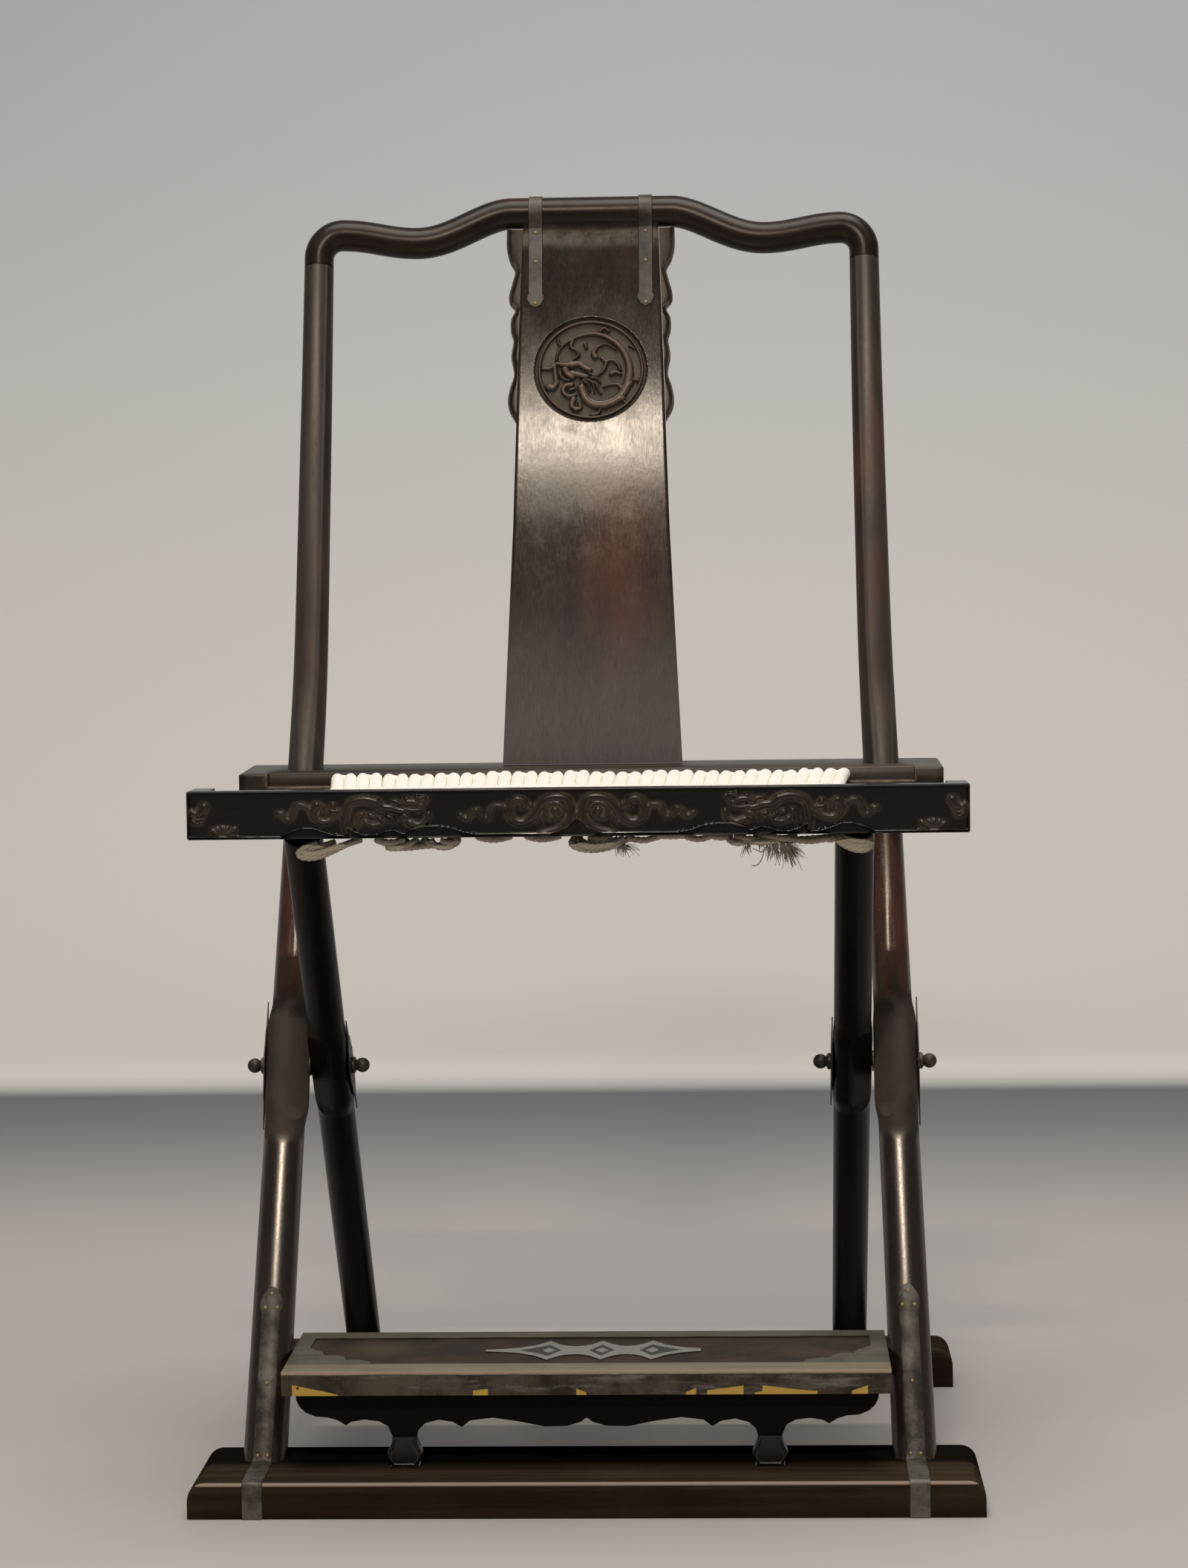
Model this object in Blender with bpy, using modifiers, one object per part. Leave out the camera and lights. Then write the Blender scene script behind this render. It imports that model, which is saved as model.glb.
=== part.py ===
"""Straight-backed folding chair of dark hardwood with a corded seat and a hinged footrest.

Two crossed frames turn on a pair of bolts. The back frame runs from the front floor rail, up through
the rear seat rail, to the serpentine crest. The front frame runs from the rear floor rail up to the
front seat rail. A white cord laced between the two seat rails is the seat and holds the frames apart.
X is the sitter's left and right, -Y is the front, Z is up, and the origin is on the floor in the middle.
"""
import math

import bmesh
import bpy
import numpy as np
from mathutils import Matrix, Vector

# Driving dimensions, in metres
BASE_LENGTH = 0.600
BASE_DEPTH = 0.490
SEAT_HEIGHT = 0.548
CREST_HEIGHT = 1.0125

# Clearances
GAP = 0.0003
WELD = 0.00001
OVERRUN = 0.004

# Floor rails
FRONT_FLOOR_WIDTH = 0.115
FRONT_FLOOR_HEIGHT = 0.0275
REAR_FLOOR_WIDTH = 0.064
REAR_FLOOR_HEIGHT = 0.032
FLOOR_END_ROUND = 0.013
FLOOR_EDGE_ROUND = 0.0022

# Seat rails
FRONT_SEAT_SETBACK = 0.0075
FRONT_SEAT_WIDTH = 0.040
FRONT_SEAT_DROP = 0.0365
FRONT_SEAT_Y = -0.226
REAR_SEAT_SETBACK = 0.0130
REAR_SEAT_WIDTH = 0.095
REAR_SEAT_DROP = 0.036
REAR_SEAT_Y = 0.022
SEAT_EDGE_ROUND = 0.0015
REBATE_END = 0.0105
REBATE_DROP = 0.010
REBATE_DEPTH = 0.016
LIP_WIDTH = 0.011

# Legs of the back frame, which carry on above the seat as the back posts
BACK_FOOT_END = 0.0495
BACK_FOOT_INSET = 0.080
BACK_LEG_INWARD = 0.0122
BACK_SEAT_INSET = 0.054
BACK_RADIUS_FOOT = 0.0170
BACK_RADIUS_SEAT = 0.0146
BACK_RADIUS_TOP = 0.0124
POST_INWARD = 0.0063
POST_TOP_DROP = 0.0445
POST_LEAN = 0.109
POST_SHAPE_SHARES = ((0.12, 0.17, 0.25), (0.25, 0.285, 0.5), (0.5, 0.49, 0.76), (0.75, 0.735, 0.93),
                     (1, 1, 1))

# Legs of the front frame
FRONT_FOOT_INSET = 0.032
FRONT_TOP_INSET = 0.022
FRONT_SPLAY = 0.0045
FRONT_RADIUS = 0.0148
TENON_DEPTH = 0.014

# Where the legs cross
BACK_PAD_THICK = 0.0346
FRONT_PAD_THICK = 0.0314
PAD_DEPTH = 0.0325
PAD_LENGTH = 0.104
PAD_SHOULDER = 0.020
PAD_EDGE_ROUND = 0.0022
PAD_NARROWING_SHARE = 0.3
WASHER_THICK = 0.0009
WASHER_RADIUS = 0.0085
BOLT_RADIUS = 0.0038
KNOB_RADIUS = 0.0059
COLLAR_RADIUS = 0.0066
COLLAR_THICK = 0.0022
PLATE_LENGTH = 0.108
PLATE_WIDTH = 0.024
PLATE_THICK = 0.0010
PLATE_EDGE_SHARES = ((1, 0), (0.62, 0.26), (0.50, 0.60), (0.30, 0.76), (0.14, 1.00))

# Crest rail
CREST_RADIUS = 0.0133
CREST_FLAT = 0.068
CREST_DIP = 0.0243
CREST_ELBOW = 0.0200
CREST_DIP_END = 0.0640
CREST_SHOULDER = 0.0165
CREST_LEAN_SHARE = 0.28
POST_TENON_RADIUS = 0.006
POST_TENON_LENGTH = 0.012

# Splat and the scalloped strips beside it
SPLAT_THICK = 0.011
SPLAT_FOOT_Y = 0.086
SPLAT_HALF_FOOT = 0.0745
SPLAT_HALF_MIDDLE = 0.0655
SPLAT_HALF_TOP = 0.0572
SPLAT_MIDDLE_SHARE = 0.42
SPLAT_SHAPE_SHARES = ((0.0, 0.0), (0.33, 0.25), (0.66, 0.575), (1.0, 1.0))
SPLAT_TENON_HALF = 0.052
SPLAT_TENON_THICK = 0.006
SPLAT_TENON_LENGTH = 0.012
MEDALLION_DROP = 0.1338
MEDALLION_RADIUS = 0.0475
MEDALLION_SINK = 0.0016
STRIP_THICK = 0.0075
STRIP_DROP = 0.0150
STRIP_LENGTH = 0.1640
STRIP_REACH = 0.0125
STRIP_EDGE_SHARES = (
    (0.000, 1.00), (0.115, 0.74), (0.230, 0.42), (0.300, 0.62), (0.365, 0.82), (0.405, 0.46), (0.425, 0.22),
    (0.460, 0.40), (0.520, 0.60), (0.600, 0.40), (0.660, 0.26), (0.720, 0.40), (0.830, 0.66), (0.890, 0.68),
    (0.950, 0.48), (0.985, 0.20))

# Metal straps
CREST_STRAP_X = 0.0467
CREST_STRAP_WIDTH = 0.0117
CREST_STRAP_THICK = 0.0011
CREST_STRAP_DROP = 0.0810
LEG_STRAP_WIDTH = 0.0166
LEG_STRAP_HEAD = 0.0200
LEG_STRAP_THICK = 0.0010
LEG_STRAP_HEIGHT = 0.1460
LEG_STRAP_HEAD_SHARES = ((0.83, -0.60), (0.85, -0.30), (1.00, 0.00), (0.96, 0.50), (0.55, 1.55),
                         (0.25, 1.90), (0.00, 2.00))
STRAP_POINT_SHARES = ((0, 0), (0.30, 0.28), (0.72, 0.36), (1.08, 0.62), (1, 1))
STRAP_ROUNDNESS = 14
RIVET_RADIUS = 0.0020
RIVET_PROUD = 0.0007

# Seat cord
CORD_RADIUS = 0.0048
CORD_END = 0.0798
CORD_SAG = 0.010
CORD_SPACING = 0.0104
CORD_POINTS = 24
LACING_DROP = 0.017
LACING_WAVES = 12
LACING_POINTS = 8
LACING_RADIUS = 0.0042

# Footrest
FOOTREST_SIDE_GAP = 0.00074
FOOTREST_Y = -0.210
FOOTREST_DEPTH = 0.142
FOOTREST_HEIGHT = 0.104
FOOTREST_THICK = 0.017
SHEET_THICK = 0.0008
PANEL_BACK_END = 0.0125
PANEL_FRONT_END = 0.0665
PANEL_FRONT_BORDER = 0.029
PANEL_BACK_BORDER = 0.0205
PANEL_CLOUD_SHARES = ((0.00, 0.00), (0.07, 0.10), (0.25, 0.16), (0.40, 0.15), (0.44, 0.27), (0.58, 0.34),
                      (0.74, 0.33), (0.80, 0.46), (0.92, 0.55), (1.00, 0.62), (1.00, 1.00))
LOZENGE_LENGTH = 0.058
LOZENGE_HALF = 0.033
LOZENGE_LINK = 0.0045
LOZENGE_COUNT = 3
LOZENGE_THICK = 0.0005
FOOTREST_PIN_RADIUS = 0.0030
FOOTREST_PIN_REACH = 0.014
APRON_END = 0.0090
APRON_SETBACK = 0.014
APRON_THICK = 0.011
APRON_DROP = 0.0342
APRON_EDGE_SHARES = (
    (1.000, 0.00), (0.998, 0.19), (0.987, 0.34), (0.966, 0.47), (0.932, 0.56), (0.890, 0.58), (0.858, 0.64),
    (0.828, 0.76), (0.809, 0.68), (0.764, 0.63), (0.715, 0.67), (0.683, 0.78), (0.669, 1.00), (0.585, 1.00),
    (0.579, 0.87), (0.555, 0.72), (0.508, 0.64), (0.460, 0.69), (0.430, 0.81), (0.400, 0.66), (0.323, 0.60),
    (0.238, 0.68), (0.144, 0.80), (0.067, 0.79), (0.020, 0.70), (0.000, 0.60))
FOOT_X_SHARE = 0.627
FOOT_HALF = 0.0133
FOOT_THICK = 0.016
FOOT_SHAPE_SHARES = ((0.00, 0.69), (0.16, 0.70), (0.38, 0.84), (0.60, 1.00), (0.76, 0.92), (0.88, 0.78),
                     (1.00, 0.74))

MODEL_NAME = "folding_chair"
SIDES = (("left", -1), ("right", 1))

for old in list(bpy.data.objects):
    bpy.data.objects.remove(old)
MODEL = bpy.data.collections.new(MODEL_NAME)
CUTTERS = bpy.data.collections.new(MODEL_NAME + "_cutters")
bpy.context.scene.collection.children.link(MODEL)
bpy.context.scene.collection.children.link(CUTTERS)


def finish(name, colour, roughness, metallic=0.0):
    """A material with one Principled shader."""
    material = bpy.data.materials.new(name)
    material.use_nodes = True
    shader = material.node_tree.nodes["Principled BSDF"]
    shader.inputs["Base Color"].default_value = (*colour, 1)
    shader.inputs["Roughness"].default_value = roughness
    shader.inputs["Metallic"].default_value = metallic
    return material


DARK_WOOD = finish("dark_wood", (0.035, 0.024, 0.018), 0.35)
BROWN_WOOD = finish("brown_wood", (0.060, 0.030, 0.020), 0.33)
PANEL_WOOD = finish("panel_wood", (0.055, 0.042, 0.033), 0.55)
TARNISHED = finish("tarnished_metal", (0.20, 0.19, 0.16), 0.45, 0.8)
BRONZE = finish("dark_bronze", (0.10, 0.08, 0.06), 0.4, 0.8)
PEWTER = finish("pewter_inlay", (0.45, 0.44, 0.40), 0.4, 0.7)
CORD = finish("cotton_cord", (0.82, 0.76, 0.64), 0.9)


def keep(mesh, name, material, cutter=False):
    """Link a mesh as an object: a piece of the chair, or a hidden cutter."""
    obj = bpy.data.objects.new(name, mesh)
    (CUTTERS if cutter else MODEL).objects.link(obj)
    if cutter:
        obj.hide_render = True
        obj.display_type = "WIRE"
    else:
        mesh.materials.append(material)
    return obj


def soften(mesh, degrees=35):
    mesh.shade_smooth()
    mesh.set_sharp_from_angle(angle=math.radians(degrees))


def curve_mesh(curve, name, matrix=None):
    """The welded mesh of a curve datablock, moved by matrix."""
    guide = bpy.data.objects.new(name + "_guide", curve)
    CUTTERS.objects.link(guide)
    depsgraph = bpy.context.evaluated_depsgraph_get()
    mesh = bpy.data.meshes.new_from_object(guide.evaluated_get(depsgraph))
    mesh.name = name
    bpy.data.objects.remove(guide)
    bpy.data.curves.remove(curve)
    shape = bmesh.new()
    shape.from_mesh(mesh)
    bmesh.ops.remove_doubles(shape, verts=shape.verts, dist=WELD)
    bmesh.ops.recalc_face_normals(shape, faces=shape.faces)
    shape.to_mesh(mesh)
    shape.free()
    mesh.materials.clear()
    if matrix is not None:
        mesh.transform(matrix)
    return mesh


def tube(name, points, radii, material=None, cutter=False, resolution=6):
    """A round bar along points, with its own radius at each; resolution 6 gives 16 sides."""
    curve = bpy.data.curves.new(name, "CURVE")
    curve.dimensions = "3D"
    curve.bevel_depth = 1
    curve.bevel_resolution = resolution
    curve.use_fill_caps = True
    spline = curve.splines.new("POLY")
    spline.points.add(len(points) - 1)
    for point, place, radius in zip(spline.points, points, radii):
        point.co = (*place, 1)
        point.radius = radius
    mesh = curve_mesh(curve, name)
    soften(mesh)
    return keep(mesh, name, material, cutter)


def plate(name, outlines, thickness, matrix, material=None, cutter=False, edge=0.0, edge_steps=0):
    """A flat board: closed outlines in its own XY plane, thickened evenly about that plane."""
    curve = bpy.data.curves.new(name, "CURVE")
    curve.dimensions = "2D"
    curve.fill_mode = "BOTH"
    curve.extrude = thickness / 2 - edge
    curve.bevel_depth = edge
    curve.bevel_resolution = edge_steps
    curve.offset = -edge
    for outline in outlines:
        spline = curve.splines.new("POLY")
        spline.points.add(len(outline) - 1)
        for point, place in zip(spline.points, outline):
            point.co = (place[0], place[1], 0, 1)
        spline.use_cyclic_u = True
    mesh = curve_mesh(curve, name, matrix)
    soften(mesh)
    return keep(mesh, name, material, cutter)


def block(name, low, high, material=None, cutter=False, edge=0.0, steps=2):
    """A box between two corners, with rounded edges."""
    shape = bmesh.new()
    bmesh.ops.create_cube(shape, size=1)
    size = Vector(high) - Vector(low)
    centre = (Vector(high) + Vector(low)) / 2
    matrix = Matrix.Translation(centre) @ Matrix.Diagonal((*size, 1))
    bmesh.ops.transform(shape, matrix=matrix, verts=shape.verts)
    mesh = bpy.data.meshes.new(name)
    shape.to_mesh(mesh)
    shape.free()
    obj = keep(mesh, name, material, cutter)
    if edge:
        bevel = obj.modifiers.new("rounded edges", "BEVEL")
        bevel.width = edge
        bevel.segments = steps
    return obj


def turned(name, profile, centre, direction, material=None, cutter=False, steps=16):
    """A turned piece: (radius, distance along the axis) pairs from the far end to the near one."""
    mesh = bpy.data.meshes.new(name)
    mesh.from_pydata([(radius, 0, along) for radius, along in profile],
                     [(i, i + 1) for i in range(len(profile) - 1)], [])
    obj = keep(mesh, name, material, cutter)
    turn = Vector(direction).to_track_quat("Z", "Y").to_matrix().to_4x4()
    obj.matrix_world = Matrix.Translation(Vector(centre)) @ turn
    screw = obj.modifiers.new("turning", "SCREW")
    screw.steps = steps
    screw.render_steps = steps
    screw.use_merge_vertices = True
    screw.merge_threshold = WELD
    screw.use_smooth_shade = True
    return obj


def combine(obj, other, operation):
    """Join or cut obj with a hidden cutter."""
    boolean = obj.modifiers.new(operation.lower() + " " + other.name, "BOOLEAN")
    boolean.object = other
    boolean.operation = operation
    boolean.solver = "EXACT"


def upright(origin, lean=0.0):
    """A plane seen from the front: its X is the chair's X, its Y goes up and leans back."""
    up = Vector((0, math.sin(lean), math.cos(lean)))
    across = Vector((1, 0, 0))
    return Matrix.Translation(Vector(origin)) @ Matrix((across, up, across.cross(up))).transposed().to_4x4()


def sideways(origin, along=None):
    """A plane seen from the chair's side: its X is the given direction, or the chair's Y."""
    along = Vector((0, 1, 0)) if along is None else Vector(along).normalized()
    side = Vector((1, 0, 0))
    turn = Matrix((along, side.cross(along), side)).transposed().to_4x4()
    return Matrix.Translation(Vector(origin)) @ turn


def smooth_path(stations, steps):
    """Rows along a Catmull-Rom curve through the stations, each a place and a radius."""
    rows = np.array(stations, float)
    rows = np.vstack([2 * rows[0] - rows[1], rows, 2 * rows[-1] - rows[-2]])
    path = []
    for before, start, end, after in zip(rows, rows[1:], rows[2:], rows[3:]):
        for t in np.linspace(0, 1, steps, endpoint=False):
            linear = (end - before) * t
            square = (2 * before - 5 * start + 4 * end - after) * t * t
            cube = (3 * start - before - 3 * end + after) * t ** 3
            path.append((2 * start + linear + square + cube) / 2)
    path.append(rows[-2])
    return np.array(path)


def arc(centre, radius, start, end, count):
    """Points of a flat arc, angles in degrees."""
    angles = np.radians(np.linspace(start, end, count))
    return [(centre[0] + radius * math.cos(a), centre[1] + radius * math.sin(a)) for a in angles]


# Heights that follow the crest
POST_TOP_HEIGHT = CREST_HEIGHT - POST_TOP_DROP
MEDALLION_HEIGHT = CREST_HEIGHT - MEDALLION_DROP
STRIP_TOP = CREST_HEIGHT - STRIP_DROP
STRIP_BOTTOM = STRIP_TOP - STRIP_LENGTH

# Widths that follow the floor rails' length
FRONT_SEAT_LENGTH = BASE_LENGTH - FRONT_SEAT_SETBACK * 2
REAR_SEAT_LENGTH = BASE_LENGTH - REAR_SEAT_SETBACK * 2
REBATE_LENGTH = REAR_SEAT_LENGTH - REBATE_END * 2
BACK_FOOT_X = BASE_LENGTH / 2 - BACK_FOOT_END
BACK_SEAT_X = BACK_FOOT_X - BACK_LEG_INWARD
POST_TOP_X = BACK_SEAT_X - POST_INWARD
CREST_SHOULDER_X = POST_TOP_X - CREST_ELBOW
CREST_DIP_X = CREST_SHOULDER_X - CREST_DIP_END
CORD_SEAT_HALF = REAR_SEAT_LENGTH / 2 - CORD_END
CORD_LOOPS = int(CORD_SEAT_HALF / CORD_SPACING + 1 / 2)

# Both leg lines seen from the side, and the point where they cross
BACK_FOOT = Vector((BACK_FOOT_X, -BASE_DEPTH / 2 + BACK_FOOT_INSET, FRONT_FLOOR_HEIGHT))
BACK_SEAT = Vector((BACK_SEAT_X, REAR_SEAT_Y + BACK_SEAT_INSET, SEAT_HEIGHT))
FRONT_FOOT_Y = BASE_DEPTH / 2 - FRONT_FOOT_INSET
FRONT_TOP_Y = FRONT_SEAT_Y + FRONT_TOP_INSET
FRONT_TOP_Z = SEAT_HEIGHT - FRONT_SEAT_DROP
BACK_SLOPE = (BACK_SEAT.y - BACK_FOOT.y) / (BACK_SEAT.z - BACK_FOOT.z)
FRONT_SLOPE = (FRONT_TOP_Y - FRONT_FOOT_Y) / (FRONT_TOP_Z - REAR_FLOOR_HEIGHT)
PIVOT_Z = ((FRONT_FOOT_Y - FRONT_SLOPE * REAR_FLOOR_HEIGHT - BACK_FOOT.y + BACK_SLOPE * BACK_FOOT.z)
           / (BACK_SLOPE - FRONT_SLOPE))
PIVOT_Y = BACK_FOOT.y + BACK_SLOPE * (PIVOT_Z - BACK_FOOT.z)
BACK_INWARD = (BACK_FOOT.x - BACK_SEAT.x) / (BACK_SEAT.z - BACK_FOOT.z)
BACK_PIVOT_X = BACK_FOOT.x - BACK_INWARD * (PIVOT_Z - BACK_FOOT.z)
FRONT_PIVOT_X = BACK_PIVOT_X - (BACK_PAD_THICK + FRONT_PAD_THICK) / 2 - WASHER_THICK - 2 * GAP
FRONT_SPLAY_SLOPE = FRONT_SPLAY / (FRONT_TOP_Z - REAR_FLOOR_HEIGHT)
FRONT_FOOT_X = FRONT_PIVOT_X + FRONT_SPLAY_SLOPE * (PIVOT_Z - REAR_FLOOR_HEIGHT)
FRONT_TOP_X = FRONT_PIVOT_X - FRONT_SPLAY_SLOPE * (FRONT_TOP_Z - PIVOT_Z)
FRONT_FOOT = Vector((FRONT_FOOT_X, FRONT_FOOT_Y, REAR_FLOOR_HEIGHT))
FRONT_TOP = Vector((FRONT_TOP_X, FRONT_TOP_Y, FRONT_TOP_Z))
BACK_ALONG = Vector((0, BACK_SLOPE, 1)).normalized()
FRONT_ALONG = Vector((0, FRONT_SLOPE, 1)).normalized()

POST_TOP_Y = BACK_SEAT.y + POST_LEAN
CREST_Y = POST_TOP_Y + CREST_LEAN_SHARE * (CREST_HEIGHT - POST_TOP_HEIGHT)


def crest_plane_y(z):
    """Depth of the leaning plane that the crest rail lies in."""
    return POST_TOP_Y + CREST_LEAN_SHARE * (z - POST_TOP_HEIGHT)


def along_back_leg(z):
    """Point and radius of the back frame's leg at a height below the seat."""
    share = (z - BACK_FOOT.z) / (BACK_SEAT.z - BACK_FOOT.z)
    place = BACK_FOOT.lerp(BACK_SEAT, share)
    return place, BACK_RADIUS_FOOT + (BACK_RADIUS_SEAT - BACK_RADIUS_FOOT) * share


def footrest_pin_z():
    return FOOTREST_HEIGHT - SHEET_THICK - GAP - FOOTREST_THICK / 2


def footrest_half_length():
    """The footrest just clears the legs on both sides."""
    place, radius = along_back_leg(footrest_pin_z())
    return place.x - radius - FOOTREST_SIDE_GAP


FOOTREST_HALF = footrest_half_length()
PANEL_HALF_BACK = FOOTREST_HALF - PANEL_BACK_END
PANEL_HALF_FRONT = FOOTREST_HALF - PANEL_FRONT_END
APRON_HALF = FOOTREST_HALF - APRON_END


def back_post_stations(side):
    """The leg from inside the floor rail to the seat, then the post that bends up to the crest."""
    stations = []
    for z in (BACK_FOOT.z - TENON_DEPTH, PIVOT_Z, SEAT_HEIGHT - REAR_SEAT_DROP, SEAT_HEIGHT):
        place, radius = along_back_leg(z)
        stations.append((side * place.x, place.y, place.z, radius))
    for rise, lean, inward in POST_SHAPE_SHARES:
        stations.append((side * (BACK_SEAT.x + (POST_TOP_X - BACK_SEAT.x) * inward),
                         BACK_SEAT.y + POST_LEAN * lean,
                         SEAT_HEIGHT + (POST_TOP_HEIGHT - SEAT_HEIGHT) * rise,
                         BACK_RADIUS_SEAT + (BACK_RADIUS_TOP - BACK_RADIUS_SEAT) * rise))
    return stations


def back_post_path(side):
    return smooth_path(back_post_stations(side), 2)


def crest_drop(x):
    """How far the crest rail's middle line lies below its flat centre, x from the middle."""
    ease = (x - CREST_FLAT) / (CREST_DIP_X - CREST_FLAT)
    rise = (x - CREST_DIP_X) / (CREST_SHOULDER_X - CREST_DIP_X)
    if x <= CREST_FLAT:
        return 0
    if x <= CREST_DIP_X:
        return CREST_DIP * (1 - math.cos(math.pi * ease ** 0.9)) / 2
    return CREST_DIP - (CREST_DIP - CREST_SHOULDER) * (1 - math.cos(math.pi * rise)) / 2


def crest_path():
    """Serpentine from one post to the other: flat middle, a dip each side, and an elbow down."""
    stops = [0, CREST_FLAT / 2, CREST_FLAT]
    stops += list(np.linspace(CREST_FLAT, CREST_DIP_X, 8)[1:])
    stops += list(np.linspace(CREST_DIP_X, CREST_SHOULDER_X, 6)[1:-1])
    half = [(x, CREST_HEIGHT - crest_drop(x), CREST_RADIUS) for x in stops]
    bend = arc((CREST_SHOULDER_X, CREST_HEIGHT - CREST_SHOULDER - CREST_ELBOW), CREST_ELBOW, 90, 6, 7)
    bend.append((POST_TOP_X, POST_TOP_HEIGHT + 2 * GAP))
    half += [(x, z, CREST_RADIUS + (BACK_RADIUS_TOP - CREST_RADIUS) * index / (len(bend) - 1))
             for index, (x, z) in enumerate(bend)]
    right = [(x, crest_plane_y(z), z, radius) for x, z, radius in half]
    left = [(-x, y, z, radius) for x, y, z, radius in reversed(right[1:])]
    return np.array(left + right)


def grown(path, clearance):
    """The same path as a fatter tube, for a cutter."""
    return path[:, :3], path[:, 3] + clearance


def floor_rail(name, y_front, width, height):
    """A floor rail: board with rounded top corners at both ends."""
    half = BASE_LENGTH / 2
    outline = [(-half, 0), (half, 0)]
    outline += arc((half - FLOOR_END_ROUND, height - FLOOR_END_ROUND), FLOOR_END_ROUND, 0, 90, 6)
    outline += arc((FLOOR_END_ROUND - half, height - FLOOR_END_ROUND), FLOOR_END_ROUND, 90, 180, 6)
    return plate(name, [outline], width, upright((0, y_front + width / 2, 0)), DARK_WOOD,
                 edge=FLOOR_EDGE_ROUND, edge_steps=1)


def build_floor_rails():
    front = floor_rail("front_floor_rail", -BASE_DEPTH / 2, FRONT_FLOOR_WIDTH, FRONT_FLOOR_HEIGHT)
    rear_face = BASE_DEPTH / 2 - REAR_FLOOR_WIDTH
    return front, floor_rail("rear_floor_rail", rear_face, REAR_FLOOR_WIDTH, REAR_FLOOR_HEIGHT)


def pad_outline(thick):
    """Side faces of the pad as (along the leg, across): straight, then eased in at both ends."""
    half = PAD_LENGTH / 2
    ease = [(share, 1 - PAD_NARROWING_SHARE * (1 - math.cos(math.pi * share)) / 2)
            for share in np.linspace(0, 1, 6)]
    top = [(half - PAD_SHOULDER + PAD_SHOULDER * share, thick / 2 * width) for share, width in ease]
    upper = top[::-1] + [(-length, width) for length, width in top]
    return upper + [(-length, -width) for length, width in upper]


def squared_crossing(leg, side, pivot_x, along, thick):
    """Join the squared pad to a leg and bore it for the bolt."""
    centre = (side * pivot_x, PIVOT_Y, PIVOT_Z)
    across = Vector((1, 0, 0))
    turn = Matrix((along, across, along.cross(across))).transposed().to_4x4()
    pad = plate(leg.name + "_pad", [pad_outline(thick)], PAD_DEPTH,
                Matrix.Translation(Vector(centre)) @ turn, cutter=True, edge=PAD_EDGE_ROUND, edge_steps=1)
    combine(leg, pad, "UNION")
    reach = thick / 2 + OVERRUN
    radius = BOLT_RADIUS + GAP
    bore = turned(leg.name + "_bore", [(0, reach), (radius, reach), (radius, -reach), (0, -reach)],
                  centre, (1, 0, 0), cutter=True)
    combine(leg, bore, "DIFFERENCE")


def build_back_posts(front_floor, rear_seat):
    for word, side in SIDES:
        path = back_post_path(side)
        post = tube("back_post_" + word, path[:, :3], path[:, 3], BROWN_WOOD)
        squared_crossing(post, side, BACK_PIVOT_X, BACK_ALONG, BACK_PAD_THICK)
        top = Vector(path[-1, :3])
        along = (top - Vector(path[-2, :3])).normalized()
        tenon_ends = (top - along * POST_TENON_LENGTH, top + along * POST_TENON_LENGTH)
        tenon = tube(post.name + "_tenon", tenon_ends, [POST_TENON_RADIUS] * 2, cutter=True, resolution=4)
        combine(post, tenon, "UNION")
        socket_end = top + along * (POST_TENON_LENGTH + GAP)
        socket = tube(post.name + "_socket", (tenon_ends[0], socket_end), [POST_TENON_RADIUS + GAP] * 2,
                      cutter=True, resolution=4)
        mortise_path = path.copy()
        foot_direction = Vector(path[1, :3] - path[0, :3]).normalized()
        mortise_path[0, :3] -= np.array(foot_direction) * GAP
        places, radii = grown(mortise_path, GAP)
        mortise = tube(post.name + "_mortise", places, radii, cutter=True)
        combine(front_floor, mortise, "DIFFERENCE")
        combine(rear_seat, mortise, "DIFFERENCE")
        boss_x = along_back_leg(footrest_pin_z())[0].x - along_back_leg(footrest_pin_z())[1]
        pin_hole = footrest_pin_cutter(word, side, boss_x)
        combine(post, pin_hole, "DIFFERENCE")
        yield socket


def footrest_pin_cutter(word, side, boss_x):
    """Blind hole in a post for the footrest's pin."""
    place = along_back_leg(footrest_pin_z())[0]
    radius = FOOTREST_PIN_RADIUS + GAP
    reach = boss_x + FOOTREST_PIN_REACH + GAP
    hole = [(0, reach), (radius, reach), (radius, FOOTREST_HALF), (0, FOOTREST_HALF)]
    centre = (0, place.y, place.z)
    return turned("footrest_pin_hole_" + word, hole, centre, (side, 0, 0), cutter=True, steps=12)


def build_front_legs(rear_floor, front_seat):
    for word, side in SIDES:
        foot = Vector((side * FRONT_FOOT.x, FRONT_FOOT.y, FRONT_FOOT.z))
        top = Vector((side * FRONT_TOP.x, FRONT_TOP.y, FRONT_TOP.z))
        along = (top - foot).normalized()
        ends = (foot - along * TENON_DEPTH, top + along * TENON_DEPTH)
        leg = tube("front_leg_" + word, ends, [FRONT_RADIUS] * 2, DARK_WOOD)
        squared_crossing(leg, side, FRONT_PIVOT_X, FRONT_ALONG, FRONT_PAD_THICK)
        longer = (ends[0] - along * GAP, ends[1] + along * GAP)
        mortise = tube(leg.name + "_mortise", longer, [FRONT_RADIUS + GAP] * 2, cutter=True)
        combine(rear_floor, mortise, "DIFFERENCE")
        combine(front_seat, mortise, "DIFFERENCE")


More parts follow.
